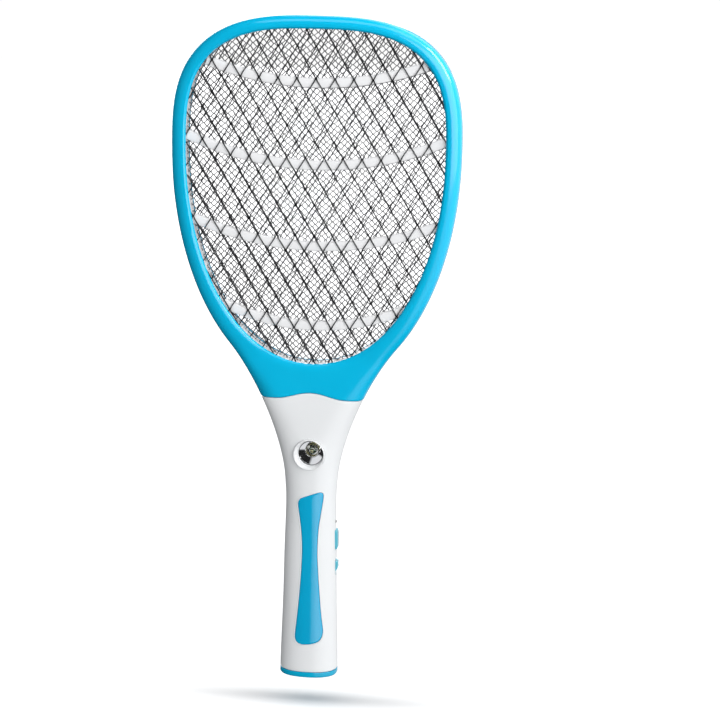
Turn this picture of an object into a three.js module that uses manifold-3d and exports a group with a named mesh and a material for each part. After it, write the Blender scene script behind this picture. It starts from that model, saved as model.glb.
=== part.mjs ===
// Electric fly swatter: a racket head with three wire grids on a torch handle.
// Units are millimetres. +Z points up the handle, the front face looks along -Y,
// and the origin is the middle of the end cap's flat bottom.
import * as THREE from 'three';
import { mergeGeometries, mergeVertices } from 'three/addons/utils/BufferGeometryUtils.js';
import Module from 'manifold-3d';

const wasm = await Module();
wasm.setup();

// ---------------------------------------------------------------- driving sizes

const clearance = 0.3;              // gap between neighbouring pieces

// Heights up the handle.
const seamZ = 218.3;                // joint between the white handle and the blue head
const seamBow = 1.5;                // the joint bows up by this from the sides to the middle
const seamCrest = 3.9;              // and by this more in a wave across its middle
const seamCrestHalfWidth = 25;
const neckWeb = 26.7;               // from the joint to the bottom of the opening

// Opening that the grids fill: a squarish half above its widest line, an egg-shaped half below.
const openingHalfWidth = 95;
const openingTopReach = 86.5;
const openingTopPower = 2.94;
const openingBottomReach = 159;
const openingBottomPower = 2.08;

// Rim around the opening.
const rimSide = 11.4;
const rimTop = 9.5;
const rimBottom = 20;               // the head outline's own reach below the opening
const headTopPower = 2.85;
const headBottomPower = 2.05;
const headHalfDepth = 10;
const rimRounding = 11;             // width of the crowned rim, from its outer edge
const rimPower = 3;                 // a higher power is a flatter crown with a tighter shoulder
const lipThickness = 3.1;
const lipRounding = 1.3;
const neckFlare = 39.7;             // the head outline hands over to the neck this far above the joint

// Grids and spacers inside the rim.
const recessWidth = 4.2;            // how far the grids reach behind the lip
const gridThickness = 0.8;
const gridBorder = 2.7;             // solid strip around each grid
const cellWidth = 13.8;             // diamond of the outer grids
const cellHeight = 22.9;
const cellsPerHole = 2;             // one modelled hole spans this many cells each way
const strandWidth = 1.2;
const centreHoleWidth = 44;
const centreHoleHeight = 44;
const ribWidth = 7;
const ribCount = 4;
const topRibDrop = 38.7;            // below the top of the opening
const lowestRibRise = 28.3;         // above the bottom of the opening
const ribRadius = 235;
const lowestRibRadius = 165;

// Handle section against height, each height a share of the height of the joint.
const gripWidths = [[0, 22.1], [0.1, 21.6], [0.284, 20.4], [0.4535, 19.8], [0.632, 18.9], [0.719, 19.9]];
const gripDepths = [[0, 15.6], [0.284, 15.2], [0.573, 14.6], [0.733, 15.4], [0.825, 15.9], [0.939, 14.8], [1.03, 12.6]];
const neckDepthRun = 31.7;          // the neck reaches the head's depth this far above the joint
const sectionPower = 2.35;          // roundness of the handle's section
const wall = 2.5;                   // handle shell wall
const tongueHalfWidth = 15;
const tongueHalfDepth = 7.6;
const tongueReach = 17;

// End cap and the plug that slides out through it.
const capHeight = 4.3;
const capSpigotHeight = 4;
const capSpigotWall = 1.6;
const pinSpacing = 19;
const pinRadius = 2;
const pinHoleGap = 0.6;
const pinTipZ = 1;
const pinY = 1.8;
const plugTravel = 19.4;
const carriageHalfWidth = 12.5;
const carriageHeight = 11;
const carriageFrontY = -5;
const carriageBackY = 8.5;
const pinSeatDepth = 7;
const sliderStemHalfWidth = 3;
const sliderStemHalfHeight = 4;
const sliderKnobHalfWidth = 6.5;
const sliderKnobHalfHeight = 7;

// Torch in the front of the neck.
const torchDrop = 41;               // below the joint
const bezelRadius = 12;
const reflectorRadius = 9.8;
const bezelProud = 1.2;
const reflectorRecess = 3.6;
const reflectorDepth = 6.5;
const reflectorWall = 0.9;
const torchLedRadius = 2.5;

// Controls on the right-hand side.
const buttonZ = 108;
const buttonLength = 15;
const buttonHalfDepth = 4;
const buttonProud = 1.8;
const buttonTravel = 1.5;
const slideZ = 86.5;
const slideKnobLength = 8.8;
const slideHalfDepth = 3.4;
const slideTravel = 2;              // each way from the middle position
const slideProud = 1.9;
const indicatorZ = 121.6;
const indicatorRadius = 1.5;
const flangeInset = 2.6;            // from the shell's inner side to a control's retaining flange
const flangeThickness = 1;

// Grip inlay on the front: corners as [x, z], and the sides of its waist.
const inlayTopLeft = [-8, 139.5];
const inlayTopRight = [11, 147.5];
const inlayBottomRight = [12.8, 36.5];
const inlayBottomLeft = [-9.2, 29];
const inlayWaistLeft = -4.5;
const inlayWaistRight = 7.2;
const inlayCorner = 3;
const inlayThickness = 1.2;

// Electronics.
const boardHalfWidth = 9;
const boardFrontY = 6.2;
const boardThickness = 1.6;
const batteryRadius = 7.1;
const batteryLength = 50;
const batteryX = -5.5;
const batteryY = -3;
const leadRadius = 0.8;
const leadSpacing = 8;
const contactWidth = 4;
const contactThickness = 0.5;

// Screws.
const screwRadius = 1.2;
const screwHeadRadius = 2.3;
const screwHeadHeight = 1.6;
const screwSides = 10;
const bossRadius = 2.9;
const headScrewSeat = 3.6;          // behind the middle plane
const headScrewReach = 5;           // in front of the middle plane
const headScrewOffset = 7.3;        // from the opening's edge
const headScrewAngles = [45, 135, 5, 175, 325, 215, 293, 247];
const handleScrewReach = 8;
const handleScrewSeat = 6;
const neckScrewSeat = 8;

// --------------------------------------------------------------- derived sizes

const partingGap = clearance / 2;
const openingBottomZ = seamZ + neckWeb;
const headCentreZ = openingBottomZ + openingBottomReach;
const topReach = openingTopReach + rimTop;
const totalLength = headCentreZ + topReach;
const headHalfWidth = openingHalfWidth + rimSide;
const headBottomReach = openingBottomReach + rimBottom;
const neckTopZ = seamZ + neckFlare;
const lipInnerFace = headHalfDepth - lipThickness;
const outerGridY = lipInnerFace - clearance - gridThickness / 2;
const stackReach = recessWidth - clearance;
const stackFloorZ = openingBottomZ - stackReach;
const pinHoleRadius = pinRadius + pinHoleGap;
const carriageBottomZ = capHeight + 2 * clearance + plugTravel;
const sliderZ = carriageBottomZ + carriageHeight / 2;
const torchZ = seamZ - torchDrop;
const screwClear = screwRadius + clearance;
const screwHeadClear = screwHeadRadius + clearance;
const lowerBossZ = carriageBottomZ + carriageHeight + bossRadius + 0.8;
const upperBossZ = torchZ - 48.3;
const handleScrews = [[-16.2, lowerBossZ], [16.2, lowerBossZ], [-12.9, upperBossZ], [12.9, upperBossZ]];
const neckScrewZ = seamZ - 10.8;
const batteryBottomZ = lowerBossZ + bossRadius + 8.3;
const boardBottomZ = batteryBottomZ + 2;
const boardTopZ = seamZ - 22.3;

// ------------------------------------------------------------------- materials

const paint = (color, roughness, metalness = 0) =>
  new THREE.MeshStandardMaterial({ color, roughness, metalness });
const bluePlastic = paint(0x18b2e0, 0.28);
const whitePlastic = paint(0xeef0f2, 0.3);
const ribPlastic = paint(0xf4f4f6, 0.45);
const steel = paint(0xa8a9ad, 0.38, 1);
const chrome = paint(0xe6e7ea, 0.06, 1);
const brass = paint(0xc8ccd0, 0.25, 1);
const amberResin = paint(0xd8c04c, 0.15);
const redResin = paint(0x5c1216, 0.2);
const boardGreen = paint(0x1d6b3a, 0.45);
const blackPlastic = paint(0x1c1d20, 0.4);
const cellWrap = paint(0x2f6fb5, 0.35);
const leadRed = paint(0xc2281f, 0.45);
const capacitorRed = paint(0x8e2f1c, 0.35);

// --------------------------------------------------------------- shape helpers

// A closed geometry as a solid, with its faces turned outwards.
function toSolid(geometry) {
  const bare = geometry.clone();
  bare.deleteAttribute('normal');
  bare.deleteAttribute('uv');
  const merged = mergeVertices(bare, 1e-4);
  const positions = merged.attributes.position.array;
  const index = Array.from(merged.index.array);
  if (signedVolume(positions, index) < 0) index.reverse();
  return new wasm.Manifold(new wasm.Mesh({
    numProp: 3,
    vertProperties: new Float32Array(positions),
    triVerts: new Uint32Array(index),
  }));
}

function signedVolume(positions, index) {
  const corner = (i) => new THREE.Vector3().fromArray(positions, 3 * index[i]);
  let volume = 0;
  for (let i = 0; i < index.length; i += 3) {
    volume += corner(i).dot(corner(i + 1).cross(corner(i + 2))) / 6;
  }
  return volume;
}

function toGeometry(solid) {
  const mesh = solid.getMesh();
  const geometry = new THREE.BufferGeometry();
  geometry.setAttribute('position', new THREE.BufferAttribute(mesh.vertProperties, 3));
  geometry.setIndex(new THREE.BufferAttribute(mesh.triVerts, 1));
  return geometry;
}

// A closed solid through rings of points; the ends are capped, or joined when closed.
function loft(rings, closed = false) {
  const size = rings[0].length;
  const positions = rings.flat().flatMap((point) => [point.x, point.y, point.z]);
  const index = [];
  const spans = closed ? rings.length : rings.length - 1;
  for (let i = 0; i < spans; i += 1) {
    const here = i * size;
    const next = ((i + 1) % rings.length) * size;
    for (let j = 0; j < size; j += 1) {
      const k = (j + 1) % size;
      index.push(here + j, here + k, next + k, here + j, next + k, next + j);
    }
  }
  if (!closed) {
    const last = (rings.length - 1) * size;
    for (let j = 1; j < size - 1; j += 1) {
      index.push(0, j + 1, j);
      index.push(last, last + j, last + j + 1);
    }
  }
  const geometry = new THREE.BufferGeometry();
  geometry.setAttribute('position', new THREE.Float32BufferAttribute(positions, 3));
  geometry.setIndex(index);
  return toSolid(geometry);
}

function box(x0, x1, y0, y1, z0, z1) {
  const geometry = new THREE.BoxGeometry(x1 - x0, y1 - y0, z1 - z0);
  geometry.translate((x0 + x1) / 2, (y0 + y1) / 2, (z0 + z1) / 2);
  return toSolid(geometry);
}

// A drawing in X and Z, extruded from y0 to y1.
function plate(points, y0, y1) {
  const geometry = new THREE.ExtrudeGeometry(new THREE.Shape(points), { depth: y1 - y0, bevelEnabled: false });
  geometry.rotateX(Math.PI / 2);
  geometry.translate(0, y1, 0);
  return toSolid(geometry);
}

function rodY(x, z, radius, y0, y1, sides = 20) {
  const geometry = new THREE.CylinderGeometry(radius, radius, y1 - y0, sides);
  geometry.translate(x, (y0 + y1) / 2, z);
  return toSolid(geometry);
}

function rodZ(x, y, radius, z0, z1, sides = 20) {
  const geometry = new THREE.CylinderGeometry(radius, radius, z1 - z0, sides);
  geometry.rotateX(Math.PI / 2);
  geometry.translate(x, y, (z0 + z1) / 2);
  return toSolid(geometry);
}

function rodX(y, z, radius, x0, x1, sides = 16) {
  const geometry = new THREE.CylinderGeometry(radius, radius, x1 - x0, sides);
  geometry.rotateZ(Math.PI / 2);
  geometry.translate((x0 + x1) / 2, y, z);
  return toSolid(geometry);
}

// A turned piece about a line along Y; the profile is [radius, y] pairs.
function turnedY(profile, x, z, sides = 24) {
  const points = profile.map(([radius, y]) => new THREE.Vector2(radius, y));
  return toSolid(new THREE.LatheGeometry([...points, points[0]], sides)).translate([x, 0, z]);
}

const cut = (base, ...tools) => tools.reduce((rest, tool) => rest.subtract(tool), base);
const join = (base, ...others) => others.reduce((whole, other) => whole.add(other), base);
const mirrorY = (solid) => solid.mirror([0, 1, 0]);

// ------------------------------------------------------------ outline and depth

// Distance from the head's centre to a superellipse, in a direction given in degrees.
function superRadius(degrees, halfWidth, above, abovePower, below, belowPower) {
  const angle = THREE.MathUtils.degToRad(degrees);
  const power = Math.sin(angle) > 0 ? abovePower : belowPower;
  const reach = Math.sin(angle) > 0 ? above : below;
  const sum = Math.abs(Math.cos(angle) / halfWidth) ** power + Math.abs(Math.sin(angle) / reach) ** power;
  return sum ** (-1 / power);
}

function polar(degrees, radius) {
  const angle = THREE.MathUtils.degToRad(degrees);
  return new THREE.Vector2(radius * Math.cos(angle), headCentreZ + radius * Math.sin(angle));
}

const headPoint = (degrees) => polar(degrees,
  superRadius(degrees, headHalfWidth, topReach, headTopPower, headBottomReach, headBottomPower));

const openingPoint = (degrees) => polar(degrees,
  superRadius(degrees, openingHalfWidth, openingTopReach, openingTopPower, openingBottomReach, openingBottomPower));

function openingNormal(degrees) {
  const along = openingPoint(degrees + 0.2).sub(openingPoint(degrees - 0.2));
  return new THREE.Vector2(along.y, -along.x).normalize();
}

const openingOffset = (degrees, offset) =>
  openingPoint(degrees).addScaledVector(openingNormal(degrees), offset);

// Where the head outline reaches the neck on the right-hand side.
function neckTopDegrees() {
  let degrees = -20;
  while (headPoint(degrees).y > neckTopZ) degrees -= 0.05;
  return degrees;
}

const neckDegrees = neckTopDegrees();
const headSteps = 40;
const sideSteps = 4;
const seamSteps = 10;
const neckSteps = 2 * sideSteps + seamSteps;

// Directions from the head's centre in which every head piece has a corner.
const stationDegrees = [
  ...Array.from({ length: headSteps + 1 }, (_, i) =>
    THREE.MathUtils.lerp(neckDegrees, 180 - neckDegrees, i / headSteps)),
  ...Array.from({ length: neckSteps - 1 }, (_, i) =>
    THREE.MathUtils.lerp(180 - neckDegrees, 360 + neckDegrees, (i + 1) / neckSteps)),
];

// The opening's outline grown by an offset, as a closed list of points.
const openingOutline = (offset) => stationDegrees.map((degrees) => openingOffset(degrees, offset));

const neckTop = headPoint(neckDegrees);
const neckTangent = headPoint(neckDegrees).sub(headPoint(neckDegrees + 0.5)).normalize();
const gripLine = new THREE.SplineCurve(gripWidths.map(([share, width]) => new THREE.Vector2(width, share * seamZ)));
const gripTop = gripLine.getPoint(1);
const neckCurve = new THREE.CubicBezierCurve(
  gripTop,
  new THREE.Vector2(gripTop.x + 2.4, gripTop.y + 28),
  neckTop.clone().addScaledVector(neckTangent, 36),
  neckTop,
);
const sideLine = [...gripLine.getPoints(24), ...neckCurve.getPoints(20).slice(1)];
const depthLine = new THREE.SplineCurve([
  ...gripDepths.map(([share, depth]) => new THREE.Vector2(depth, share * seamZ)),
  new THREE.Vector2(headHalfDepth, seamZ + neckDepthRun),
]).getPoints(40);

// Reads a line of (value, height) points at one height.
function readLine(line, z) {
  if (z <= line[0].y) return line[0].x;
  for (let i = 1; i < line.length; i += 1) {
    const [low, high] = [line[i - 1], line[i]];
    if (z <= high.y) return THREE.MathUtils.mapLinear(z, low.y, high.y, low.x, high.x);
  }
  return line.at(-1).x;
}

const halfWidthAt = (z) => readLine(sideLine, z);
const halfDepthAt = (z) => readLine(depthLine, z);

// Height of the joint with the head, bowed and with a wave in its middle.
function seamAt(x) {
  const bow = 1 - Math.min(Math.abs(x) / halfWidthAt(seamZ), 1) ** 2;
  const wave = 0.5 * (1 + Math.cos(Math.PI * Math.min(Math.abs(x) / seamCrestHalfWidth, 1)));
  return seamZ + seamBow * bow + seamCrest * wave;
}

const headPoints = stationDegrees.slice(0, headSteps + 1).map(headPoint);

// Both edges of the silhouette from the grip up, used to measure distance to the edge.
const silhouette = [
  ...sideLine.map((point) => point.clone()),
  ...headPoints.slice(1, -1),
  ...sideLine.map((point) => new THREE.Vector2(-point.x, point.y)).reverse(),
];

function edgeDistance(x, z) {
  let nearest = Infinity;
  for (let i = 1; i < silhouette.length; i += 1) {
    const [a, b] = [silhouette[i - 1], silhouette[i]];
    const [dx, dz] = [b.x - a.x, b.y - a.y];
    const t = THREE.MathUtils.clamp(((x - a.x) * dx + (z - a.y) * dz) / (dx * dx + dz * dz || 1), 0, 1);
    nearest = Math.min(nearest, Math.hypot(x - a.x - t * dx, z - a.y - t * dz));
  }
  return nearest;
}

// Depth of the outer surface in front of the parting plane.
function surfaceDepth(x, z) {
  const flareTop = seamZ + neckDepthRun;
  const blend = THREE.MathUtils.smoothstep(z, torchZ - bezelRadius, flareTop);
  const shoulder = THREE.MathUtils.lerp(halfWidthAt(Math.min(z, flareTop)), rimRounding, blend);
  const power = THREE.MathUtils.lerp(sectionPower, rimPower, blend);
  const reach = Math.min(edgeDistance(x, z) / shoulder, 1);
  return halfDepthAt(z) * (1 - (1 - reach) ** power) ** (1 / power);
}

// --------------------------------------------------------------- handle form

const gripRowStep = 15;

function handleRow(z, inset) {
  const columns = 10;
  const halfWidth = halfWidthAt(z);
  const narrow = (halfWidth - inset) / halfWidth;
  const shallow = (halfDepthAt(z) - inset) / halfDepthAt(z);
  const row = [];
  for (let i = 0; i <= columns; i += 1) {
    const x = halfWidth * Math.sin(Math.PI * (i / columns - 0.5));
    const depth = i === 0 || i === columns ? 0 : surfaceDepth(x, z) * shallow;
    row.push(new THREE.Vector3(x * narrow, -Math.max(depth, 0), z));
  }
  return row;
}

// Front half of the handle between two heights, shrunk by an inset; its back is the middle plane.
function handleForm(inset, bottomZ, topZ) {
  const count = Math.ceil((topZ - bottomZ) / gripRowStep);
  const rows = Array.from({ length: count + 1 }, (_, i) =>
    handleRow(THREE.MathUtils.lerp(bottomZ, topZ, i / count), inset));
  return loft(rows);
}

// Point i of the joint's line, the same for the pieces on both sides of it.
function seamPoint(i, offset) {
  const half = halfWidthAt(seamZ);
  const x = THREE.MathUtils.lerp(-half, half, i / seamSteps);
  return new THREE.Vector2(x, seamAt(x) + offset);
}

// Everything above or below the joint's line.
function seamBlock(offset, above, halfDepth) {
  const line = Array.from({ length: seamSteps + 1 }, (_, i) => seamPoint(i, offset));
  const farZ = above ? totalLength : -headHalfWidth;
  const outline = [
    new THREE.Vector2(-headHalfWidth, seamZ + offset), ...line, new THREE.Vector2(headHalfWidth, seamZ + offset),
    new THREE.Vector2(headHalfWidth, farZ), new THREE.Vector2(-headHalfWidth, farZ),
  ];
  return plate(outline, -halfDepth, halfDepth);
}

// -------------------------------------------------------------- head pieces

// Outer boundary of the front frame: head, left neck, seam, right neck.
function frameBoundary() {
  const leftSide = Array.from({ length: sideSteps }, (_, i) => {
    const z = THREE.MathUtils.lerp(neckTopZ, seamZ + partingGap, (i + 1) / sideSteps);
    return new THREE.Vector2(-halfWidthAt(z), z);
  });
  const seam = Array.from({ length: seamSteps - 1 }, (_, i) => seamPoint(i + 1, partingGap));
  const rightSide = leftSide.map((point) => new THREE.Vector2(-point.x, point.y)).reverse();
  return [...headPoints, ...leftSide, ...seam, ...rightSide];
}

// One section of the front frame from the lip over the shoulder to the parting plane.
function frameSection(outer, i) {
  const degrees = stationDegrees[i];
  const inner = openingPoint(degrees);
  const behind = openingOffset(degrees, recessWidth);
  const at = (point, y) => new THREE.Vector3(point.x, y, point.y);
  const across = outer.clone().sub(inner);
  const width = across.length();
  const steps = [0, lipRounding / width, 0.4, 0.65, 0.85, 0.96, 1];
  const top = steps.map((t, step) => {
    const point = inner.clone().addScaledVector(across, t);
    const depth = surfaceDepth(point.x, point.y) - (step === 0 ? lipRounding * 0.6 : 0);
    return at(point, -Math.max(depth, 0.6));
  });
  return [...top, at(outer, -partingGap), at(behind, -partingGap), at(behind, -lipInnerFace), at(inner, -lipInnerFace)];
}

const headScrewPoint = (degrees) => openingOffset(degrees, headScrewOffset);

// Room for the grid contacts under the recess, and a passage down through the tongue for the leads.
function leadChannel() {
  const contactHalfWidth = leadSpacing / 2 + contactWidth / 2 + 2;
  const leadHalfWidth = leadSpacing / 2 + leadRadius + 1.6;
  const leadHalfDepth = leadRadius + 1.6;
  return join(
    box(-contactHalfWidth, contactHalfWidth, -lipInnerFace, lipInnerFace, stackFloorZ - 5.3, stackFloorZ + 3),
    box(-leadHalfWidth, leadHalfWidth, -leadHalfDepth, leadHalfDepth, seamZ - tongueReach - 4, stackFloorZ - 4),
  );
}

function tongue() {
  return box(-tongueHalfWidth, tongueHalfWidth, -tongueHalfDepth, -partingGap,
    seamZ - tongueReach, seamZ + 6);
}

function headFrontFrame() {
  const ring = loft(frameBoundary().map(frameSection), true);
  const holes = headScrewAngles.map((degrees) => {
    const point = headScrewPoint(degrees);
    return rodY(point.x, point.y, screwClear, -headScrewReach - clearance, 1, screwSides);
  });
  const neckHole = rodY(0, neckScrewZ, screwClear, -20, 1, screwSides);
  return cut(join(ring, tongue()), leadChannel(), ...holes, neckHole);
}

function headRearFrame() {
  const ring = mirrorY(join(loft(frameBoundary().map(frameSection), true), tongue()));
  const holes = headScrewAngles.flatMap((degrees) => {
    const point = headScrewPoint(degrees);
    return [
      rodY(point.x, point.y, screwClear, -1, 20, screwSides),
      rodY(point.x, point.y, screwHeadClear, headScrewSeat - clearance, 20, screwSides),
    ];
  });
  const neckHole = rodY(0, neckScrewZ, bossRadius + clearance, -1, 20, 16);
  return cut(ring, leadChannel(), ...holes, neckHole);
}

// Diamond holes on a lattice centred on the head, kept inside the grid's solid border.
function gridPlate(y, holeWidth, holeHeight) {
  const halfThickness = gridThickness / 2;
  const [halfW, halfH] = [holeWidth / 2, holeHeight / 2];
  const bevel = strandWidth / 2 / Math.sin(Math.atan2(halfH, halfW));
  const [cutW, cutH] = [halfW - bevel, (halfW - bevel) * (halfH / halfW)];
  const diamonds = [];
  const rows = Math.ceil(totalLength / halfH);
  const columns = Math.ceil((2 * openingHalfWidth) / holeWidth);
  for (let row = -rows; row <= rows; row += 1) {
    for (let column = -columns; column <= columns; column += 1) {
      const x = (column + (row % 2 === 0 ? 0 : 0.5)) * holeWidth;
      const z = headCentreZ + row * halfH;
      const reach = Math.hypot(x / (openingHalfWidth + cutW), (z - headCentreZ) / (openingBottomReach + cutH));
      if (reach < 1.05 && z < totalLength + cutH) {
        const corners = [[cutW, 0], [0, cutH], [-cutW, 0], [0, -cutH]];
        const outline = corners.map(([dx, dz]) => new THREE.Vector2(x + dx, z + dz));
        const prism = new THREE.ExtrudeGeometry(new THREE.Shape(outline), { depth: 4, bevelEnabled: false });
        prism.rotateX(Math.PI / 2);
        prism.translate(0, y + 2, 0);
        diamonds.push(prism);
      }
    }
  }
  const inner = plate(openingOutline(stackReach - gridBorder), y - 3, y + 3);
  const holes = toSolid(mergeGeometries(diamonds)).intersect(inner);
  return cut(plate(openingOutline(stackReach), y - halfThickness, y + halfThickness), holes);
}

// A ring behind the lip with curved ribs across the opening, in front of the middle plane.
function spacer() {
  const [y0, y1] = [-outerGridY + gridThickness / 2 + clearance, -gridThickness / 2 - clearance];
  const outer = plate(openingOutline(stackReach), y0, y1);
  const hole = plate(openingOutline(clearance), y0 - 1, y1 + 1);
  const limit = plate(openingOutline(1.5), y0, y1);
  const lowest = openingBottomZ + lowestRibRise;
  const highest = headCentreZ + openingTopReach - topRibDrop;
  const ribs = Array.from({ length: ribCount }, (_, i) => {
    const z = THREE.MathUtils.lerp(lowest, highest, i / (ribCount - 1));
    return rib(z, i === 0 ? lowestRibRadius : ribRadius, y0, y1).intersect(limit);
  });
  return join(cut(outer, hole), ...ribs);
}

function rib(z, radius, y0, y1) {
  const halfAngle = Math.asin(Math.min((openingHalfWidth + 4) / radius, 0.6));
  const steps = 10;
  const arc = (r) => Array.from({ length: steps + 1 }, (_, i) => {
    const angle = THREE.MathUtils.lerp(-halfAngle, halfAngle, i / steps);
    return new THREE.Vector2(r * Math.sin(angle), z + radius - r * Math.cos(angle));
  });
  return plate([...arc(radius - ribWidth / 2), ...arc(radius + ribWidth / 2).reverse()], y0, y1);
}

// ------------------------------------------------------------- handle shells

function torchPocket() {
  const face = halfDepthAt(torchZ);
  return join(
    rodY(0, torchZ, bezelRadius + clearance, -face - 6, -face + 7, 32),
    rodY(0, torchZ, reflectorRadius + clearance, -face, -face + 12, 32),
  );
}

function inlayOutline(grow) {
  const shape = new THREE.Shape();
  const [left, right] = [-grow, grow];
  const corner = inlayCorner + grow;
  const [tl, tr, br, bl] = [inlayTopLeft, inlayTopRight, inlayBottomRight, inlayBottomLeft];
  shape.moveTo(tl[0] + left, tl[1] - corner);
  shape.quadraticCurveTo(tl[0] + left, tl[1] + grow, tl[0] + corner, tl[1] + grow + 1.6);
  shape.lineTo(tr[0] - corner, tr[1] + grow - 0.6);
  shape.quadraticCurveTo(tr[0] + right, tr[1] + grow, tr[0] + right, tr[1] - corner);
  shape.bezierCurveTo(inlayWaistRight + right, tr[1] - 26, inlayWaistRight + right, br[1] + 42,
    br[0] + right, br[1] + corner);
  shape.quadraticCurveTo(br[0] + right, br[1] - grow, br[0] - corner, br[1] - grow - 1.6);
  shape.lineTo(bl[0] + 2 * corner, bl[1] - grow - 1.4);
  shape.quadraticCurveTo(bl[0] + left, bl[1] - grow, bl[0] + left, bl[1] + corner);
  shape.bezierCurveTo(inlayWaistLeft + left, bl[1] + 42, inlayWaistLeft + left, tl[1] - 26,
    tl[0] + left, tl[1] - corner);
  return shape.getPoints(5).slice(0, -1);
}

const shellBottomZ = capHeight + clearance;
const shellTopZ = seamZ + seamBow + seamCrest + 3;

function buttonHole(grow) {
  return box(10, 30, -buttonHalfDepth - grow, buttonHalfDepth + grow,
    buttonZ - buttonLength / 2 - grow, buttonZ + buttonLength / 2 + grow);
}

function slideSlot() {
  const half = slideKnobLength / 2 + slideTravel + clearance;
  return box(10, 30, -slideHalfDepth - clearance, slideHalfDepth + clearance, slideZ - half, slideZ + half);
}

const indicatorHole = () => rodX(0, indicatorZ, indicatorRadius + clearance, 10, 30);

// A hollow half of the handle, open at the bottom and at the seam.
function shellHalf() {
  const outer = handleForm(0, shellBottomZ, shellTopZ);
  const hollow = handleForm(wall, shellBottomZ - 1, shellTopZ + 1);
  const middle = box(-60, 60, -partingGap, 5, -5, totalLength);
  return cut(outer.subtract(hollow), middle, seamBlock(-partingGap, true, 40));
}

function bosses(frontward) {
  const [y0, y1] = [-13, -clearance - (frontward ? 0 : 0.2)];
  return handleScrews.map(([x, z]) =>
    rodY(x, z, bossRadius, y0, y1, 16).intersect(handleForm(wall - 0.5, shellBottomZ, shellTopZ)));
}

function handleFrontShell() {
  const pocket = handleForm(-2, 10, torchZ - 7).subtract(handleForm(inlayThickness + clearance, 5, torchZ - 2))
    .intersect(plate(inlayOutline(clearance), -30, 0));
  const pilots = handleScrews.map(([x, z]) =>
    rodY(x, z, screwClear, -handleScrewReach - clearance, 1, screwSides));
  return cut(join(shellHalf(), ...bosses(true)), pocket, torchPocket(),
    buttonHole(clearance), slideSlot(), indicatorHole(), ...pilots);
}

function sliderSlot() {
  const grow = clearance;
  return box(-sliderStemHalfWidth - grow, sliderStemHalfWidth + grow, 5, 30,
    sliderZ - plugTravel - sliderStemHalfHeight - grow, sliderZ + sliderStemHalfHeight + grow);
}

function handleRearShell() {
  const screws = [...handleScrews.map(([x, z]) => [x, z, handleScrewSeat]), [0, neckScrewZ, neckScrewSeat]];
  const holes = screws.flatMap(([x, z, seat]) => [
    rodY(x, z, screwClear, -1, 30, screwSides),
    rodY(x, z, screwHeadClear, seat, 30, screwSides),
  ]);
  const neckBoss = rodY(0, neckScrewZ, bossRadius, partingGap + 0.5, halfDepthAt(neckScrewZ) - wall + 0.5, 16);
  const half = join(mirrorY(shellHalf()), ...bosses(false).map(mirrorY), neckBoss);
  return cut(half, ...holes, buttonHole(clearance), slideSlot(), indicatorHole(), sliderSlot());
}

function gripInlay() {
  const skin = handleForm(0, 12, torchZ - 9).subtract(handleForm(inlayThickness, 8, torchZ - 5));
  return skin.intersect(plate(inlayOutline(0), -30, -4));
}

function endCap() {
  const cornerInset = 1;
  const full = (z, inset) => {
    const front = handleRow(z, inset);
    const back = front.slice(1, -1).map((point) => new THREE.Vector3(point.x, -point.y, z)).reverse();
    return [...front, ...back];
  };
  const at = (ring, z) => ring.map((point) => new THREE.Vector3(point.x, point.y, z));
  const plateBody = loft([
    at(full(0, cornerInset), 0), at(full(0, 0.25), 0.5), at(full(0, 0), 1.2), at(full(capHeight, 0), capHeight),
  ]);
  const spigotInset = wall + clearance;
  const spigot = loft([at(full(0, spigotInset), capHeight - 1), at(full(0, spigotInset), capHeight + capSpigotHeight)]);
  const hollow = loft([
    at(full(0, spigotInset + capSpigotWall), capHeight),
    at(full(0, spigotInset + capSpigotWall), capHeight + capSpigotHeight + 1),
  ]);
  const stemNotch = box(-sliderStemHalfWidth - 1, sliderStemHalfWidth + 1, 5, 20, capHeight, capHeight + 9);
  const pinHoles = [-1, 1].map((side) => rodZ((side * pinSpacing) / 2, pinY, pinHoleRadius, -1, capHeight + 1));
  return cut(join(plateBody, spigot.subtract(hollow)), stemNotch, ...pinHoles);
}

// ---------------------------------------------------------- plug and its slider

function plugCarriage() {
  const body = box(-carriageHalfWidth, carriageHalfWidth, carriageFrontY, carriageBackY,
    carriageBottomZ, carriageBottomZ + carriageHeight);
  const stem = box(-sliderStemHalfWidth, sliderStemHalfWidth, carriageBackY - 1, knobY0() + 0.6,
    sliderZ - sliderStemHalfHeight, sliderZ + sliderStemHalfHeight);
  const sockets = [-1, 1].map((side) =>
    rodZ((side * pinSpacing) / 2, pinY, pinRadius + clearance, carriageBottomZ - 1,
      carriageBottomZ + pinSeatDepth + clearance));
  return cut(join(body, stem), ...sockets);
}

const knobY0 = () => halfDepthAt(0) + clearance + 0.1;

// The thumb piece on the back: a plate with three grip ridges, hollow where the stem plugs in.
function plugSliderKnob() {
  const y0 = knobY0();
  const base = box(-sliderKnobHalfWidth, sliderKnobHalfWidth, y0, y0 + 1.8,
    sliderZ - sliderKnobHalfHeight, sliderZ + sliderKnobHalfHeight);
  const ridges = [-4, 0, 4].map((dz) =>
    box(-sliderKnobHalfWidth + 1, sliderKnobHalfWidth - 1, y0 + 1.5, y0 + 2.8, sliderZ + dz - 0.8, sliderZ + dz + 0.8));
  const grow = clearance;
  const socket = box(-sliderStemHalfWidth - grow, sliderStemHalfWidth + grow, y0 - 1, y0 + 0.6 + grow,
    sliderZ - sliderStemHalfHeight - grow, sliderZ + sliderStemHalfHeight + grow);
  return cut(join(base, ...ridges), socket);
}

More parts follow.
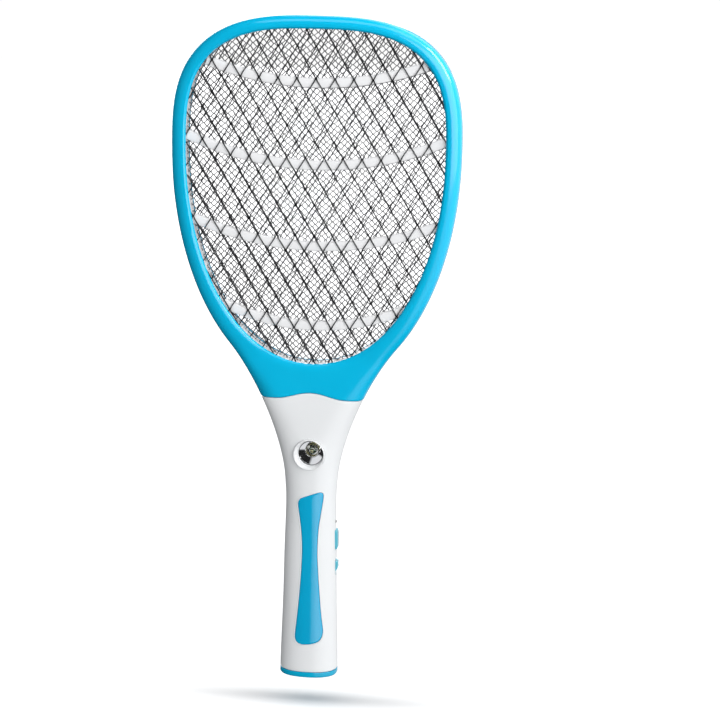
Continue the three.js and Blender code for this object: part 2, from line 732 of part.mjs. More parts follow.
function plugPin(side) {
  const top = carriageBottomZ + pinSeatDepth;
  const x = (side * pinSpacing) / 2;
  const profile = [[0, pinTipZ], [pinRadius * 0.6, pinTipZ], [pinRadius, pinTipZ + 1], [pinRadius, top], [0, top]];
  const geometry = new THREE.LatheGeometry(profile.map(([radius, z]) => new THREE.Vector2(radius, z)), 20);
  geometry.rotateX(Math.PI / 2);
  geometry.translate(x, pinY, 0);
  return toSolid(geometry);
}

// Spring strip that the plug pin's root meets when the plug is out.
function plugContact(side) {
  const x = side * (carriageHalfWidth + 1.2);
  return box(x - 0.25, x + 0.25, -2, 2, carriageBottomZ - 10, carriageBottomZ + 12);
}

// ---------------------------------------------------------------------- torch

const bezelFrontY = () => -halfDepthAt(torchZ) - bezelProud;
const reflectorFrontY = () => bezelFrontY() + reflectorRecess;

function torchBezel() {
  const front = bezelFrontY();
  const back = -halfDepthAt(torchZ) + 6.7;
  return turnedY([
    [bezelRadius, back], [bezelRadius, front + 0.8], [bezelRadius - 0.6, front], [bezelRadius - 1, front + 0.1],
    [reflectorRadius, front + reflectorRecess - clearance], [reflectorRadius, back],
  ], 0, torchZ, 28);
}

function torchReflector() {
  const front = reflectorFrontY();
  const rim = reflectorRadius - clearance;
  const throat = torchLedRadius + 0.5;
  const steps = 4;
  const curve = (radius) => front + reflectorDepth * (1 - ((radius - throat) / (rim - throat)) ** 2);
  const bowl = Array.from({ length: steps + 1 }, (_, i) => {
    const radius = THREE.MathUtils.lerp(rim - 0.5, throat, i / steps);
    return [radius, curve(radius)];
  });
  const outside = Array.from({ length: steps }, (_, i) => {
    const radius = THREE.MathUtils.lerp(throat + 0.8, rim, i / (steps - 1));
    return [radius, curve(radius) + reflectorWall];
  });
  return turnedY([[rim, front], ...bowl, [throat, front + reflectorDepth + reflectorWall], ...outside], 0, torchZ, 20);
}

function torchLed() {
  const front = reflectorFrontY() + 1.6;
  const back = reflectorFrontY() + reflectorDepth + 1.6;
  const dome = Array.from({ length: 4 }, (_, i) => {
    const angle = (Math.PI / 2) * (i / 3);
    return [torchLedRadius * Math.sin(angle), front + torchLedRadius * (1 - Math.cos(angle))];
  });
  return turnedY([...dome, [torchLedRadius, back], [0, back]], 0, torchZ, 14);
}

function torchLedBoard() {
  const y0 = reflectorFrontY() + reflectorDepth + 1.6 + clearance;
  return rodY(0, torchZ, reflectorRadius - 1, y0, y0 + 1.2, 24);
}

// ------------------------------------------------------------------- controls

const flangeX = (z) => halfWidthAt(z) - wall - flangeInset;

function zapButton() {
  const half = buttonLength / 2;
  const tipX = halfWidthAt(buttonZ) + buttonProud;
  const rootX = flangeX(buttonZ);
  const outline = [
    [rootX + 0.6, -half], [tipX - 0.7, -half], [tipX, -half + 1.2], [tipX - 0.1, half - 5],
    [tipX - 1.2, half - 1], [tipX - 2, half], [rootX + 0.6, half],
  ].map(([x, dz]) => new THREE.Vector2(x, buttonZ + dz));
  const cap = plate(outline, -buttonHalfDepth, buttonHalfDepth);
  const flange = box(rootX, rootX + flangeThickness, -buttonHalfDepth - 1, buttonHalfDepth + 1,
    buttonZ - half - 1.2, buttonZ + half + 1.2);
  return join(cap, flange);
}

const buttonSwitchGap = buttonTravel + 1.1;
const switchFaceX = () => flangeX(buttonZ) - buttonSwitchGap;

function zapSwitchBody() {
  const face = switchFaceX();
  const body = box(face - 4, face, -3, 3, buttonZ - 3, buttonZ + 3);
  return cut(body, rodX(0, buttonZ, 1.5 + clearance, face - 3, face + 1));
}

function zapSwitchPlunger() {
  return rodX(0, buttonZ, 1.5, switchFaceX() - 1, flangeX(buttonZ) - clearance);
}

function slideSwitchKnob() {
  const half = slideKnobLength / 2;
  const tipX = halfWidthAt(slideZ) + slideProud;
  const rootX = flangeX(slideZ);
  const outline = [
    [rootX + 0.6, -half], [tipX - 2.4, -half], [tipX - 0.6, -half + 2.4], [tipX, -half + 3.6],
    [tipX, half - 0.8], [tipX - 0.5, half], [rootX + 0.6, half],
  ].map(([x, dz]) => new THREE.Vector2(x, slideZ + dz));
  const cap = plate(outline, -slideHalfDepth, slideHalfDepth);
  const flange = box(rootX, rootX + flangeThickness, -slideHalfDepth - 1.2, slideHalfDepth + 1.2,
    slideZ - half - slideTravel - 0.8, slideZ + half + slideTravel + 0.8);
  return join(cap, flange);
}

const slideSwitchGap = 2.2;
const slideFaceX = () => flangeX(slideZ) - slideSwitchGap;

function slideSwitchBody() {
  const face = slideFaceX();
  const body = box(face - 3.4, face, -3, 3, slideZ - 6, slideZ + 6);
  const track = 1.2 + slideTravel + clearance;
  return cut(body, box(face - 1.6, face + 1, -1.5, 1.5, slideZ - track, slideZ + track));
}

function slideSwitchLever() {
  return box(slideFaceX() - 1.2, slideFaceX() + slideSwitchGap - clearance, -1.1, 1.1, slideZ - 1.2, slideZ + 1.2);
}

function indicatorLed() {
  const tip = halfWidthAt(indicatorZ) + 0.5;
  const stem = rodX(0, indicatorZ, indicatorRadius, tip - 5.5, tip - 0.6);
  return join(stem, rodX(0, indicatorZ, indicatorRadius * 0.7, tip - 0.8, tip));
}

// ---------------------------------------------------------------- electronics

const board = (z0, z1, halfWidth) => box(-halfWidth, halfWidth, boardFrontY, boardFrontY + boardThickness, z0, z1);

function mainBoard() {
  const blank = board(boardBottomZ, boardTopZ, boardHalfWidth);
  const isolationSlot = box(-1.5, 1.5, boardFrontY - 1, boardFrontY + boardThickness + 1, torchZ - 37, torchZ - 25);
  return blank.subtract(isolationSlot);
}

// A ferrite core with two windows for its winding, standing on the board's front face.
function transformer() {
  const y1 = boardFrontY - clearance;
  const [z0, z1] = [torchZ - 40.3, torchZ - 27.3];
  const core = box(-7.5, 7.5, y1 - 12, y1, z0, z1);
  const windows = [-1, 1].map((side) => box(side * 4.1 - 0.9, side * 4.1 + 0.9, y1 - 13, y1 + 1, z0 + 2.5, z1 - 2.5));
  return cut(core, ...windows);
}

// A plain component on the board's front face; its height up the handle is counted from the torch.
function boardBox(halfWidth, thickness, drop, height) {
  const y1 = boardFrontY - clearance;
  return box(-halfWidth, halfWidth, y1 - thickness, y1, torchZ - drop, torchZ - drop + height);
}

const storageCapacitor = () => boardBox(6.5, 7, 60.3, 16);
const dropperCapacitor = () => boardBox(6, 5, 24.3, 7);
const powerTransistor = () => boardBox(2.3, 3.6, -10.7, 5);

function battery() {
  const cap = 0.8;
  const top = batteryBottomZ + batteryLength;
  return join(
    rodZ(batteryX, batteryY, batteryRadius, batteryBottomZ, top - cap, 32),
    rodZ(batteryX, batteryY, 3, top - 2, top, 20),
  );
}

// A round lead swept along a short smooth line.
function lead(points, radius) {
  const path = new THREE.CatmullRomCurve3(points.map((point) => new THREE.Vector3(...point)));
  const sides = 6;
  const section = new THREE.Shape(Array.from({ length: sides }, (_, i) =>
    new THREE.Vector2(radius * Math.cos((2 * Math.PI * i) / sides), radius * Math.sin((2 * Math.PI * i) / sides))));
  return toSolid(new THREE.ExtrudeGeometry(section, { steps: 8, extrudePath: path, bevelEnabled: false }));
}

const contactTopZ = stackFloorZ - 2 * clearance;

// A strip under the stack of grids, on one side of the middle; halfDepth is how far it reaches each way.
function gridContact(side, halfDepth) {
  const x = (side * leadSpacing) / 2;
  return box(x - contactWidth / 2, x + contactWidth / 2, -halfDepth, halfDepth,
    contactTopZ - contactThickness, contactTopZ);
}

function gridLead(side) {
  const x = (side * leadSpacing) / 2;
  const top = contactTopZ - contactThickness - clearance;
  const end = boardTopZ - 6;
  return lead([[x, 0, top], [x, 0, seamZ + 4], [x, 0, end + 15], [x, 1.5, end + 10], [x, 4.6, end]], leadRadius);
}

// --------------------------------------------------------------------- screws

// A pan-head screw driven along -Y; seatY is where the head's underside sits.
function screw(x, z, seatY, tipY) {
  const head = seatY + screwHeadHeight;
  return turnedY([
    [0, tipY], [screwRadius, tipY + 1.4], [screwRadius, seatY],
    [screwHeadRadius, seatY], [screwHeadRadius, head - 0.6], [screwHeadRadius * 0.7, head], [0, head],
  ], x, z, screwSides);
}

// ------------------------------------------------------------------- assembly

const swatter = new THREE.Group();
const headGroup = new THREE.Group();
const handleGroup = new THREE.Group();
const controlGroup = new THREE.Group();
const electronicsGroup = new THREE.Group();
swatter.add(headGroup, handleGroup, controlGroup, electronicsGroup);

function add(group, name, solid, material) {
  const mesh = new THREE.Mesh(toGeometry(solid), material);
  mesh.name = name;
  group.add(mesh);
}

add(headGroup, 'head_front_frame', headFrontFrame(), bluePlastic);
add(headGroup, 'head_rear_frame', headRearFrame(), bluePlastic);
add(headGroup, 'front_grid', gridPlate(-outerGridY, cellWidth * cellsPerHole, cellHeight * cellsPerHole), steel);
add(headGroup, 'centre_grid', gridPlate(0, centreHoleWidth, centreHoleHeight), steel);
add(headGroup, 'rear_grid', gridPlate(outerGridY, cellWidth * cellsPerHole, cellHeight * cellsPerHole), steel);
add(headGroup, 'front_spacer', spacer(), ribPlastic);
add(headGroup, 'rear_spacer', mirrorY(spacer()), ribPlastic);
add(headGroup, 'outer_grid_contact', gridContact(-1, outerGridY), brass);
add(headGroup, 'centre_grid_contact', gridContact(1, 1.2), brass);
headScrewAngles.forEach((degrees, i) => {
  const point = headScrewPoint(degrees);
  add(headGroup, `head_screw_${i + 1}`,
    screw(point.x, point.y, headScrewSeat, -headScrewReach), steel);
});

add(handleGroup, 'handle_front_shell', handleFrontShell(), whitePlastic);
add(handleGroup, 'handle_rear_shell', handleRearShell(), whitePlastic);
add(handleGroup, 'grip_inlay', gripInlay(), bluePlastic);
add(handleGroup, 'end_cap', endCap(), bluePlastic);
handleScrews.forEach(([x, z], i) => {
  add(handleGroup, `handle_screw_${i + 1}`, screw(x, z, handleScrewSeat + clearance, -handleScrewReach), steel);
});
add(handleGroup, 'neck_screw', screw(0, neckScrewZ, neckScrewSeat + clearance, -handleScrewReach), steel);
add(handleGroup, 'plug_carriage', plugCarriage(), blackPlastic);
add(handleGroup, 'plug_slider_knob', plugSliderKnob(), bluePlastic);
[['left', -1], ['right', 1]].forEach(([name, side]) => {
  add(handleGroup, `plug_pin_${name}`, plugPin(side), brass);
  add(handleGroup, `plug_contact_${name}`, plugContact(side), brass);
});

add(controlGroup, 'torch_bezel', torchBezel(), whitePlastic);
add(controlGroup, 'torch_reflector', torchReflector(), chrome);
add(controlGroup, 'torch_led', torchLed(), amberResin);
add(controlGroup, 'torch_led_board', torchLedBoard(), boardGreen);
add(controlGroup, 'zap_button', zapButton(), bluePlastic);
add(controlGroup, 'zap_switch_body', zapSwitchBody(), blackPlastic);
add(controlGroup, 'zap_switch_plunger', zapSwitchPlunger(), blackPlastic);
add(controlGroup, 'slide_switch_knob', slideSwitchKnob(), bluePlastic);
add(controlGroup, 'slide_switch_body', slideSwitchBody(), blackPlastic);
add(controlGroup, 'slide_switch_lever', slideSwitchLever(), blackPlastic);
add(controlGroup, 'indicator_led', indicatorLed(), redResin);

add(electronicsGroup, 'main_board', mainBoard(), boardGreen);
add(electronicsGroup, 'step_up_transformer', transformer(), blackPlastic);
add(electronicsGroup, 'storage_capacitor', storageCapacitor(), capacitorRed);
add(electronicsGroup, 'dropper_capacitor', dropperCapacitor(), capacitorRed);
add(electronicsGroup, 'power_transistor', powerTransistor(), blackPlastic);
add(electronicsGroup, 'battery_cell', battery(), cellWrap);
add(electronicsGroup, 'outer_grid_lead', gridLead(-1), leadRed);
add(electronicsGroup, 'centre_grid_lead', gridLead(1), blackPlastic);

export default swatter;
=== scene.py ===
"""Electric fly swatter: the detailed look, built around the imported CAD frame.

Sizes of the object are in millimetres until a mesh is made. The stage is in metres.
"""
import math
import random

import bmesh
import bpy
import numpy as np
from mathutils import Matrix, Vector
from mathutils.geometry import delaunay_2d_cdt


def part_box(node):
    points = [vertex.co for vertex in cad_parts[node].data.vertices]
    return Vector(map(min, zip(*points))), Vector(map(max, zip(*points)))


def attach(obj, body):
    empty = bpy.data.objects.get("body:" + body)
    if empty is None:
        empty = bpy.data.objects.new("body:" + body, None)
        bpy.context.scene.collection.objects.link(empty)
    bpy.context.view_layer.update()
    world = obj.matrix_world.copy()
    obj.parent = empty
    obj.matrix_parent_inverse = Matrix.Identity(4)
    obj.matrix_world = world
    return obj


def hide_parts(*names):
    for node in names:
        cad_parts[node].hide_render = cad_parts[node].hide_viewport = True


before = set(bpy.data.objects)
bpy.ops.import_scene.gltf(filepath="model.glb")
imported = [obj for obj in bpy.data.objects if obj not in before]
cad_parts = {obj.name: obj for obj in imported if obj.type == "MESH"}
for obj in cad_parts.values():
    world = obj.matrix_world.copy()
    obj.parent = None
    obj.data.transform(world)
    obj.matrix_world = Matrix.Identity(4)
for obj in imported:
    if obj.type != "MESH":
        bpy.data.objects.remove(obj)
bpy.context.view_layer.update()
random.seed(7)

MM = 0.001
CLEAR = 0.3
GAP = CLEAR / 2

# ------------------------ main sizes
SEAM_Z, SEAM_BOW, SEAM_CREST, SEAM_CREST_HALF = 218.3, 1.5, 3.9, 25.0
OPEN_HALF, OPEN_TOP, OPEN_TOP_POWER, OPEN_BOTTOM, OPEN_BOTTOM_POWER = 95.0, 86.5, 2.94, 159.0, 2.08
OPEN_FLOOR_Z = SEAM_Z + 26.7
HEAD_Z = OPEN_FLOOR_Z + OPEN_BOTTOM
HEAD_HALF, HEAD_TOP, HEAD_TOP_POWER, HEAD_BOTTOM, HEAD_BOTTOM_POWER = 106.4, 96.0, 2.85, 179.0, 2.05
HEAD_DEPTH, RIM_ROUNDING, RIM_POWER, LIP_THICK, LIP_ROUND = 10.0, 11.0, 3.0, 3.1, 1.3
NECK_TOP_Z = SEAM_Z + 39.7
FLARE_Z = SEAM_Z + 31.7
LIP_FACE = HEAD_DEPTH - LIP_THICK
RECESS, STACK = 4.2, 3.9                 # how far the recess and the grids in it reach behind the lip
OUTER_GRID_Y = LIP_FACE - CLEAR - 0.4
CELL_W, CELL_H, FINE_CELL_W, FINE_CELL_H = 13.8, 22.9, 5.2, 4.5
TORCH_Z, BEZEL_R, BEZEL_PROUD = SEAM_Z - 41.0, 12.0, 1.2
REFLECTOR_R = 9.8
CAP_H = 4.3
SECTION_POWER = 2.35
WALL = 2.5
TONGUE_HALF, TONGUE_DEPTH, TONGUE_REACH = 15.0, 7.6, 17.0
NECK_SCREW_Z = SEAM_Z - 10.8
SCREW_HOLE_R = 2.6
SLIDER_Z, PLUG_TRAVEL = 29.9, 19.4
PIN_X, PIN_Y, PIN_R = 9.5, 1.8, 2.0
BUTTON_Z, BUTTON_LEN, SLIDE_Z, SLIDE_LEN, LAMP_Z, LAMP_R = 108.0, 15.0, 86.5, 8.8, 121.6, 1.5

# ------------------------ outline functions


def smoothstep(x, low, high):
    t = min(max((x - low) / (high - low), 0.0), 1.0)
    return t * t * (3 - 2 * t)


def lerp(a, b, t):
    return a + (b - a) * t


def super_radius(degrees, half, above, above_power, below, below_power):
    c, s = abs(math.cos(math.radians(degrees))), math.sin(math.radians(degrees))
    power, reach = (above_power, above) if s > 0 else (below_power, below)
    return ((c / half) ** power + (abs(s) / reach) ** power) ** (-1 / power)


def polar(degrees, radius):
    a = math.radians(degrees)
    return radius * math.cos(a), HEAD_Z + radius * math.sin(a)


def open_radius(degrees):
    return super_radius(degrees, OPEN_HALF, OPEN_TOP, OPEN_TOP_POWER, OPEN_BOTTOM, OPEN_BOTTOM_POWER)


def open_point(degrees):
    return polar(degrees, open_radius(degrees))


def head_point(degrees):
    radius = super_radius(degrees, HEAD_HALF, HEAD_TOP, HEAD_TOP_POWER, HEAD_BOTTOM, HEAD_BOTTOM_POWER)
    return polar(degrees, radius)


def open_offset(degrees, offset):
    (x0, z0), (x1, z1) = open_point(degrees - 0.2), open_point(degrees + 0.2)
    dx, dz = x1 - x0, z1 - z0
    length = math.hypot(dx, dz)
    x, z = open_point(degrees)
    return x + dz / length * offset, z - dx / length * offset


def catmull(t, p0, p1, p2, p3):
    v0, v1 = (p2 - p0) * 0.5, (p3 - p1) * 0.5
    return (2 * p1 - 2 * p2 + v0 + v1) * t ** 3 + (-3 * p1 + 3 * p2 - 2 * v0 - v1) * t ** 2 + v0 * t + p1


def spline(points, count):
    """The same smooth line as the CAD's: points along a Catmull-Rom spline."""
    out = []
    n = len(points)
    for k in range(count + 1):
        p = (n - 1) * k / count
        i = min(int(p), n - 1)
        w = p - i
        quad = [points[min(max(j, 0), n - 1)] for j in range(i - 1, i + 3)]
        out.append(tuple(catmull(w, *[q[axis] for q in quad]) for axis in (0, 1)))
    return out


def bezier(t, a, b, c, d):
    return tuple((1 - t) ** 3 * p + 3 * (1 - t) ** 2 * t * q + 3 * (1 - t) * t * t * r + t ** 3 * s
                 for p, q, r, s in zip(a, b, c, d))


NECK_DEGREES = -20.0                     # where the head's outline hands over to the neck's
while head_point(NECK_DEGREES)[1] > NECK_TOP_Z:
    NECK_DEGREES -= 0.05
WIDTHS = [[0, 22.1], [0.1, 21.6], [0.284, 20.4], [0.4535, 19.8], [0.632, 18.9], [0.719, 19.9]]
DEPTHS = [[0, 15.6], [0.284, 15.2], [0.573, 14.6], [0.733, 15.4], [0.825, 15.9], [0.939, 14.8], [1.03, 12.6]]
grip_line = spline([(w, share * SEAM_Z) for share, w in WIDTHS], 60)
neck_top = head_point(NECK_DEGREES)
run_x, run_z = (a - b for a, b in zip(neck_top, head_point(NECK_DEGREES + 0.5)))
run_length = math.hypot(run_x, run_z)
grip_pull = (grip_line[-1][0] + 2.4, grip_line[-1][1] + 28)
neck_pull = (neck_top[0] + run_x / run_length * 36, neck_top[1] + run_z / run_length * 36)
SIDE = grip_line + [bezier(k / 50, grip_line[-1], grip_pull, neck_pull, neck_top) for k in range(1, 51)]
DEPTH = spline([(d, share * SEAM_Z) for share, d in DEPTHS] + [(HEAD_DEPTH, FLARE_Z)], 90)
SIDE_Z, SIDE_X = np.array([p[1] for p in SIDE]), np.array([p[0] for p in SIDE])
DEPTH_Z, DEPTH_Y = np.array([p[1] for p in DEPTH]), np.array([p[0] for p in DEPTH])


def half_width(z):
    return float(np.interp(z, SIDE_Z, SIDE_X))


def half_depth(z):
    return float(np.interp(z, DEPTH_Z, DEPTH_Y))


def seam_at(x):
    bow = 1 - min(abs(x) / half_width(SEAM_Z), 1) ** 2
    wave = 0.5 * (1 + math.cos(math.pi * min(abs(x) / SEAM_CREST_HALF, 1)))
    return SEAM_Z + SEAM_BOW * bow + SEAM_CREST * wave


def distance(x, z, starts, spans, squares):
    """From (x, z) to the nearest of the segments that leave starts along spans."""
    p = np.array([x, z]) - starts
    t = np.clip((p * spans).sum(1) / squares, 0, 1)
    return float(np.sqrt(((p - spans * t[:, None]) ** 2).sum(1).min()))


HEAD_LINE = [head_point(lerp(NECK_DEGREES, 180 - NECK_DEGREES, i / 200)) for i in range(201)]
whole_outline = SIDE + HEAD_LINE[1:-1] + [(-x, z) for x, z in reversed(SIDE)]
EDGE_STARTS = np.array(whole_outline[:-1])
EDGE_SPANS = np.array(whole_outline[1:]) - EDGE_STARTS
EDGE_SQUARES = np.maximum((EDGE_SPANS ** 2).sum(1), 1e-9)


def surface_depth(x, z):
    """How far the skin stands from the middle plane: flat in the middle, rounded down towards the outline."""
    blend = smoothstep(z, TORCH_Z - BEZEL_R, FLARE_Z)
    shoulder = lerp(half_width(min(z, FLARE_Z)), RIM_ROUNDING, blend)
    power = lerp(SECTION_POWER, RIM_POWER, blend)
    reach = min(distance(x, z, EDGE_STARTS, EDGE_SPANS, EDGE_SQUARES) / shoulder, 1)
    return half_depth(z) * (1 - (1 - reach) ** power) ** (1 / power)


# ------------------------ mesh tools


def plain_mesh(name, verts, faces):
    """A mesh in metres from millimetre points."""
    mesh = bpy.data.meshes.new(name)
    mesh.from_pydata([(x * MM, y * MM, z * MM) for x, y, z in verts], [], faces)
    return mesh


def clean(mesh):
    """Merges doubled points and turns every face outwards."""
    bm = bmesh.new()
    bm.from_mesh(mesh)
    bmesh.ops.remove_doubles(bm, verts=bm.verts, dist=2e-6)
    bmesh.ops.recalc_face_normals(bm, faces=bm.faces)
    bm.to_mesh(mesh)
    bm.free()
    return mesh


def raw_mesh(name, verts, faces):
    """A clean mesh that a boolean can work on."""
    return clean(plain_mesh(name, verts, faces))


def add_object(name, data):
    obj = bpy.data.objects.new(name, data)
    bpy.context.scene.collection.objects.link(obj)
    return obj


def dress(name, mesh, material, body, replaced, sharp):
    """A finished piece from a mesh: clean, smooth up to the sharp angle, with its material and rider."""
    clean(mesh)
    mesh.polygons.foreach_set("use_smooth", [True] * len(mesh.polygons))
    mesh.set_sharp_from_angle(angle=math.radians(sharp))
    obj = add_object(name, mesh)
    obj.data.materials.append(material)
    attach(obj, body)
    if replaced:
        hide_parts(*replaced)
    return obj


def make(name, verts, faces, material, body, replaced, slot, sharp):
    """A finished piece from millimetre points and faces."""
    return dress(name, plain_mesh(name, verts, faces), material, body, replaced, sharp)


def loft(rings, closed=False):
    """Points and faces through equal rings of points; open lofts are capped."""
    size = len(rings[0])
    verts = [p for ring in rings for p in ring]
    faces = []
    for i in range(len(rings) if closed else len(rings) - 1):
        a, b = i * size, (i + 1) % len(rings) * size
        faces += [(a + j, a + (j + 1) % size, b + (j + 1) % size, b + j) for j in range(size)]
    if not closed:
        faces.append(tuple(range(size)))
        faces.append(tuple((len(rings) - 1) * size + j for j in reversed(range(size))))
    return verts, faces


def lathe(profile, centre, axis, sides=64, closed=True):
    """Turns [radius, along] pairs about a line through centre along axis; closed joins last to first."""
    verts, faces, n = [], [], len(profile)
    for k in range(sides):
        c, s = math.cos(2 * math.pi * k / sides), math.sin(2 * math.pi * k / sides)
        for radius, along in profile:
            r = max(radius, 0.0)
            local = {"Y": (r * c, along, r * s), "Z": (r * c, r * s, along), "X": (along, r * c, r * s)}[axis]
            verts.append(tuple(a + b for a, b in zip(local, centre)))
    spans = n if closed else n - 1
    for k in range(sides):
        a, b = k * n, (k + 1) % sides * n
        faces += [(a + j, a + (j + 1) % n, b + (j + 1) % n, b + j) for j in range(spans)]
    return verts, faces


def merge(*parts):
    verts, faces = [], []
    for v, f in parts:
        start = len(verts)
        verts += v
        faces += [tuple(i + start for i in face) for face in f]
    return verts, faces


def rounded_loop(half_u, half_v, radius, steps, inset=0.0):
    """A rectangle's outline about (0, 0), its corners rounded, drawn in by inset."""
    r = max(radius - inset, 0.02)
    out = []
    for way_u, way_v, start in ((1, 1, 0), (-1, 1, 90), (-1, -1, 180), (1, -1, 270)):
        for k in range(steps + 1):
            a = math.radians(start + 90 * k / steps)
            u, v = way_u * (half_u - radius), way_v * (half_v - radius)
            out.append((u + r * math.cos(a), v + r * math.sin(a)))
    return out


def quarter_round(radius, steps):
    """[inset, rise] pairs from the end face of a rounded edge to its side."""
    turns = [math.radians(90 * k / steps) for k in range(steps + 1)]
    return [(radius * (1 - math.sin(a)), radius * (1 - math.cos(a))) for a in turns]


def rounded_box(x0, x1, y0, y1, z0, z1, radius, steps=3):
    """A box with every edge rounded, as loops along Z."""
    cx, cy = (x0 + x1) / 2, (y0 + y1) / 2

    def ring(inset, z):
        loop = rounded_loop((x1 - x0) / 2, (y1 - y0) / 2, radius, steps, inset)
        return [(cx + x, cy + y, z) for x, y in loop]

    levels = quarter_round(radius, steps)
    rings = [ring(inset, z0 + rise) for inset, rise in levels]
    return loft(rings + [ring(inset, z1 - rise) for inset, rise in reversed(levels)])


def pillow(outline, y0, y1, radius, steps=4):
    """An X-Z outline with depth, its long edges rounded."""
    levels = quarter_round(radius, steps)
    rings = [[(x, y0 + rise, z) for x, z in shrink(outline, inset)] for inset, rise in levels]
    rings += [[(x, y1 - rise, z) for x, z in shrink(outline, inset)] for inset, rise in reversed(levels)]
    return loft(rings)


def bridge(low, high):
    """A closed solid between two equal loops of points."""
    n = len(low)
    faces = [tuple(range(n)), tuple(n + j for j in reversed(range(n)))]
    return low + high, faces + [(j, (j + 1) % n, n + (j + 1) % n, n + j) for j in range(n)]


def prism(outline, y0, y1):
    """An X-Z outline pushed from y0 to y1."""
    return bridge([(x, y0, z) for x, z in outline], [(x, y1, z) for x, z in outline])


def rod_y(x, z, radius, y0, y1, sides=28):
    turns = [2 * math.pi * k / sides for k in range(sides)]
    return prism([(x + radius * math.cos(a), z + radius * math.sin(a)) for a in turns], y0, y1)


def box_part(x0, x1, y0, y1, z0, z1):
    return prism([(x0, z0), (x1, z0), (x1, z1), (x0, z1)], y0, y1)


def in_mm(corners):
    return [[c / MM for c in corner] for corner in corners]


def boolean(mesh, cutters, operation="DIFFERENCE"):
    """The mesh after each of the cutters' (verts, faces) is taken from it, or joined to it."""
    base = add_object("boolean_base", mesh)
    made = []
    for k, cutter in enumerate(cutters):
        tool = add_object(f"cutter_{k}", raw_mesh("cutter", *cutter))
        made.append(tool)
        modifier = base.modifiers.new(f"cut_{k}", "BOOLEAN")
        modifier.object, modifier.operation, modifier.solver = tool, operation, "EXACT"
    bpy.context.view_layer.update()
    result = bpy.data.meshes.new_from_object(base.evaluated_get(bpy.context.evaluated_depsgraph_get()))
    for obj in made + [base]:
        bpy.data.objects.remove(obj, do_unlink=True)
    return result


# ------------------------ materials


def material(name):
    """A new material, its nodes and links, and its shader."""
    m = bpy.data.materials.new(name)
    m.use_nodes = True
    nodes, links = m.node_tree.nodes, m.node_tree.links
    return m, nodes, links, nodes["Principled BSDF"]


def noise(nodes, links, scale, detail=4.0, roughness=0.5, stretch=None):
    """The value of a noise over the object, its coordinates scaled by stretch."""
    place = nodes.new("ShaderNodeTexCoord").outputs["Object"]
    if stretch:
        mapping = nodes.new("ShaderNodeMapping")
        mapping.inputs["Scale"].default_value = stretch
        links.new(place, mapping.inputs["Vector"])
        place = mapping.outputs["Vector"]
    tex = nodes.new("ShaderNodeTexNoise")
    tex.inputs["Scale"].default_value = scale
    tex.inputs["Detail"].default_value = detail
    tex.inputs["Roughness"].default_value = roughness
    links.new(place, tex.inputs["Vector"])
    return tex.outputs["Fac"]


def ramp(nodes, links, source, stops, target):
    """Colours the source's value by [position, colour] stops, into the target socket."""
    r = nodes.new("ShaderNodeValToRGB")
    r.color_ramp.elements[0].position, r.color_ramp.elements[0].color = stops[0][0], (*stops[0][1], 1)
    r.color_ramp.elements[1].position, r.color_ramp.elements[1].color = stops[1][0], (*stops[1][1], 1)
    for position, colour in stops[2:]:
        r.color_ramp.elements.new(position).color = (*colour, 1)
    links.new(source, r.inputs["Fac"])
    links.new(r.outputs["Color"], target)


def map_range(nodes, links, source, low, high, target, source_range=(0.0, 1.0)):
    """Spreads the source's values between low and high, into the target socket."""
    m = nodes.new("ShaderNodeMapRange")
    m.inputs["From Min"].default_value, m.inputs["From Max"].default_value = source_range
    m.inputs["To Min"].default_value, m.inputs["To Max"].default_value = low, high
    links.new(source, m.inputs["Value"])
    links.new(m.outputs["Result"], target)


def bump(nodes, links, source, target, strength, height, chain=None):
    """A bump from the source's value on top of the one in chain."""
    b = nodes.new("ShaderNodeBump")
    b.inputs["Strength"].default_value, b.inputs["Distance"].default_value = strength, height
    links.new(source, b.inputs["Height"])
    if chain:
        links.new(chain.outputs["Normal"], b.inputs["Normal"])
    links.new(b.outputs["Normal"], target)
    return b


def plastic(name, colour, dark, light, roughness, coat, mottle=35.0):
    """Moulded plastic: slow colour drift, roughness patches, faint flow waviness and a fine grain."""
    m, nodes, links, shader = material(name)
    drift = noise(nodes, links, mottle, 5.0, 0.55)
    ramp(nodes, links, drift, [(0.3, dark), (0.72, light), (0.5, colour)], shader.inputs["Base Color"])
    map_range(nodes, links, noise(nodes, links, 120.0, 6.0, 0.62), *roughness, shader.inputs["Roughness"])
    first = bump(nodes, links, noise(nodes, links, 28.0, 1.0), shader.inputs["Normal"], 0.05, 0.0003)
    bump(nodes, links, noise(nodes, links, 2600.0, 2.0), shader.inputs["Normal"], 0.2, 0.00001, first)
    shader.inputs["Coat Weight"].default_value = coat
    shader.inputs["Coat Roughness"].default_value = 0.08
    shader.inputs["IOR"].default_value = 1.49
    return m


def metal(name, dark, light, roughness, scale, stretch=(1, 1, 1), height=0.00003):
    """Plated or rolled metal: tarnish patches, with a roughness and a fine bump that follow its streaks."""
    m, nodes, links, shader = material(name)
    streaks = noise(nodes, links, scale, 6.0, stretch=stretch)
    patches = noise(nodes, links, 90.0, 5.0, 0.6)
    ramp(nodes, links, patches, [(0.32, dark), (0.66, light)], shader.inputs["Base Color"])
    map_range(nodes, links, streaks, *roughness, shader.inputs["Roughness"])
    bump(nodes, links, streaks, shader.inputs["Normal"], 0.4, height)
    shader.inputs["Metallic"].default_value = 1.0
    return m


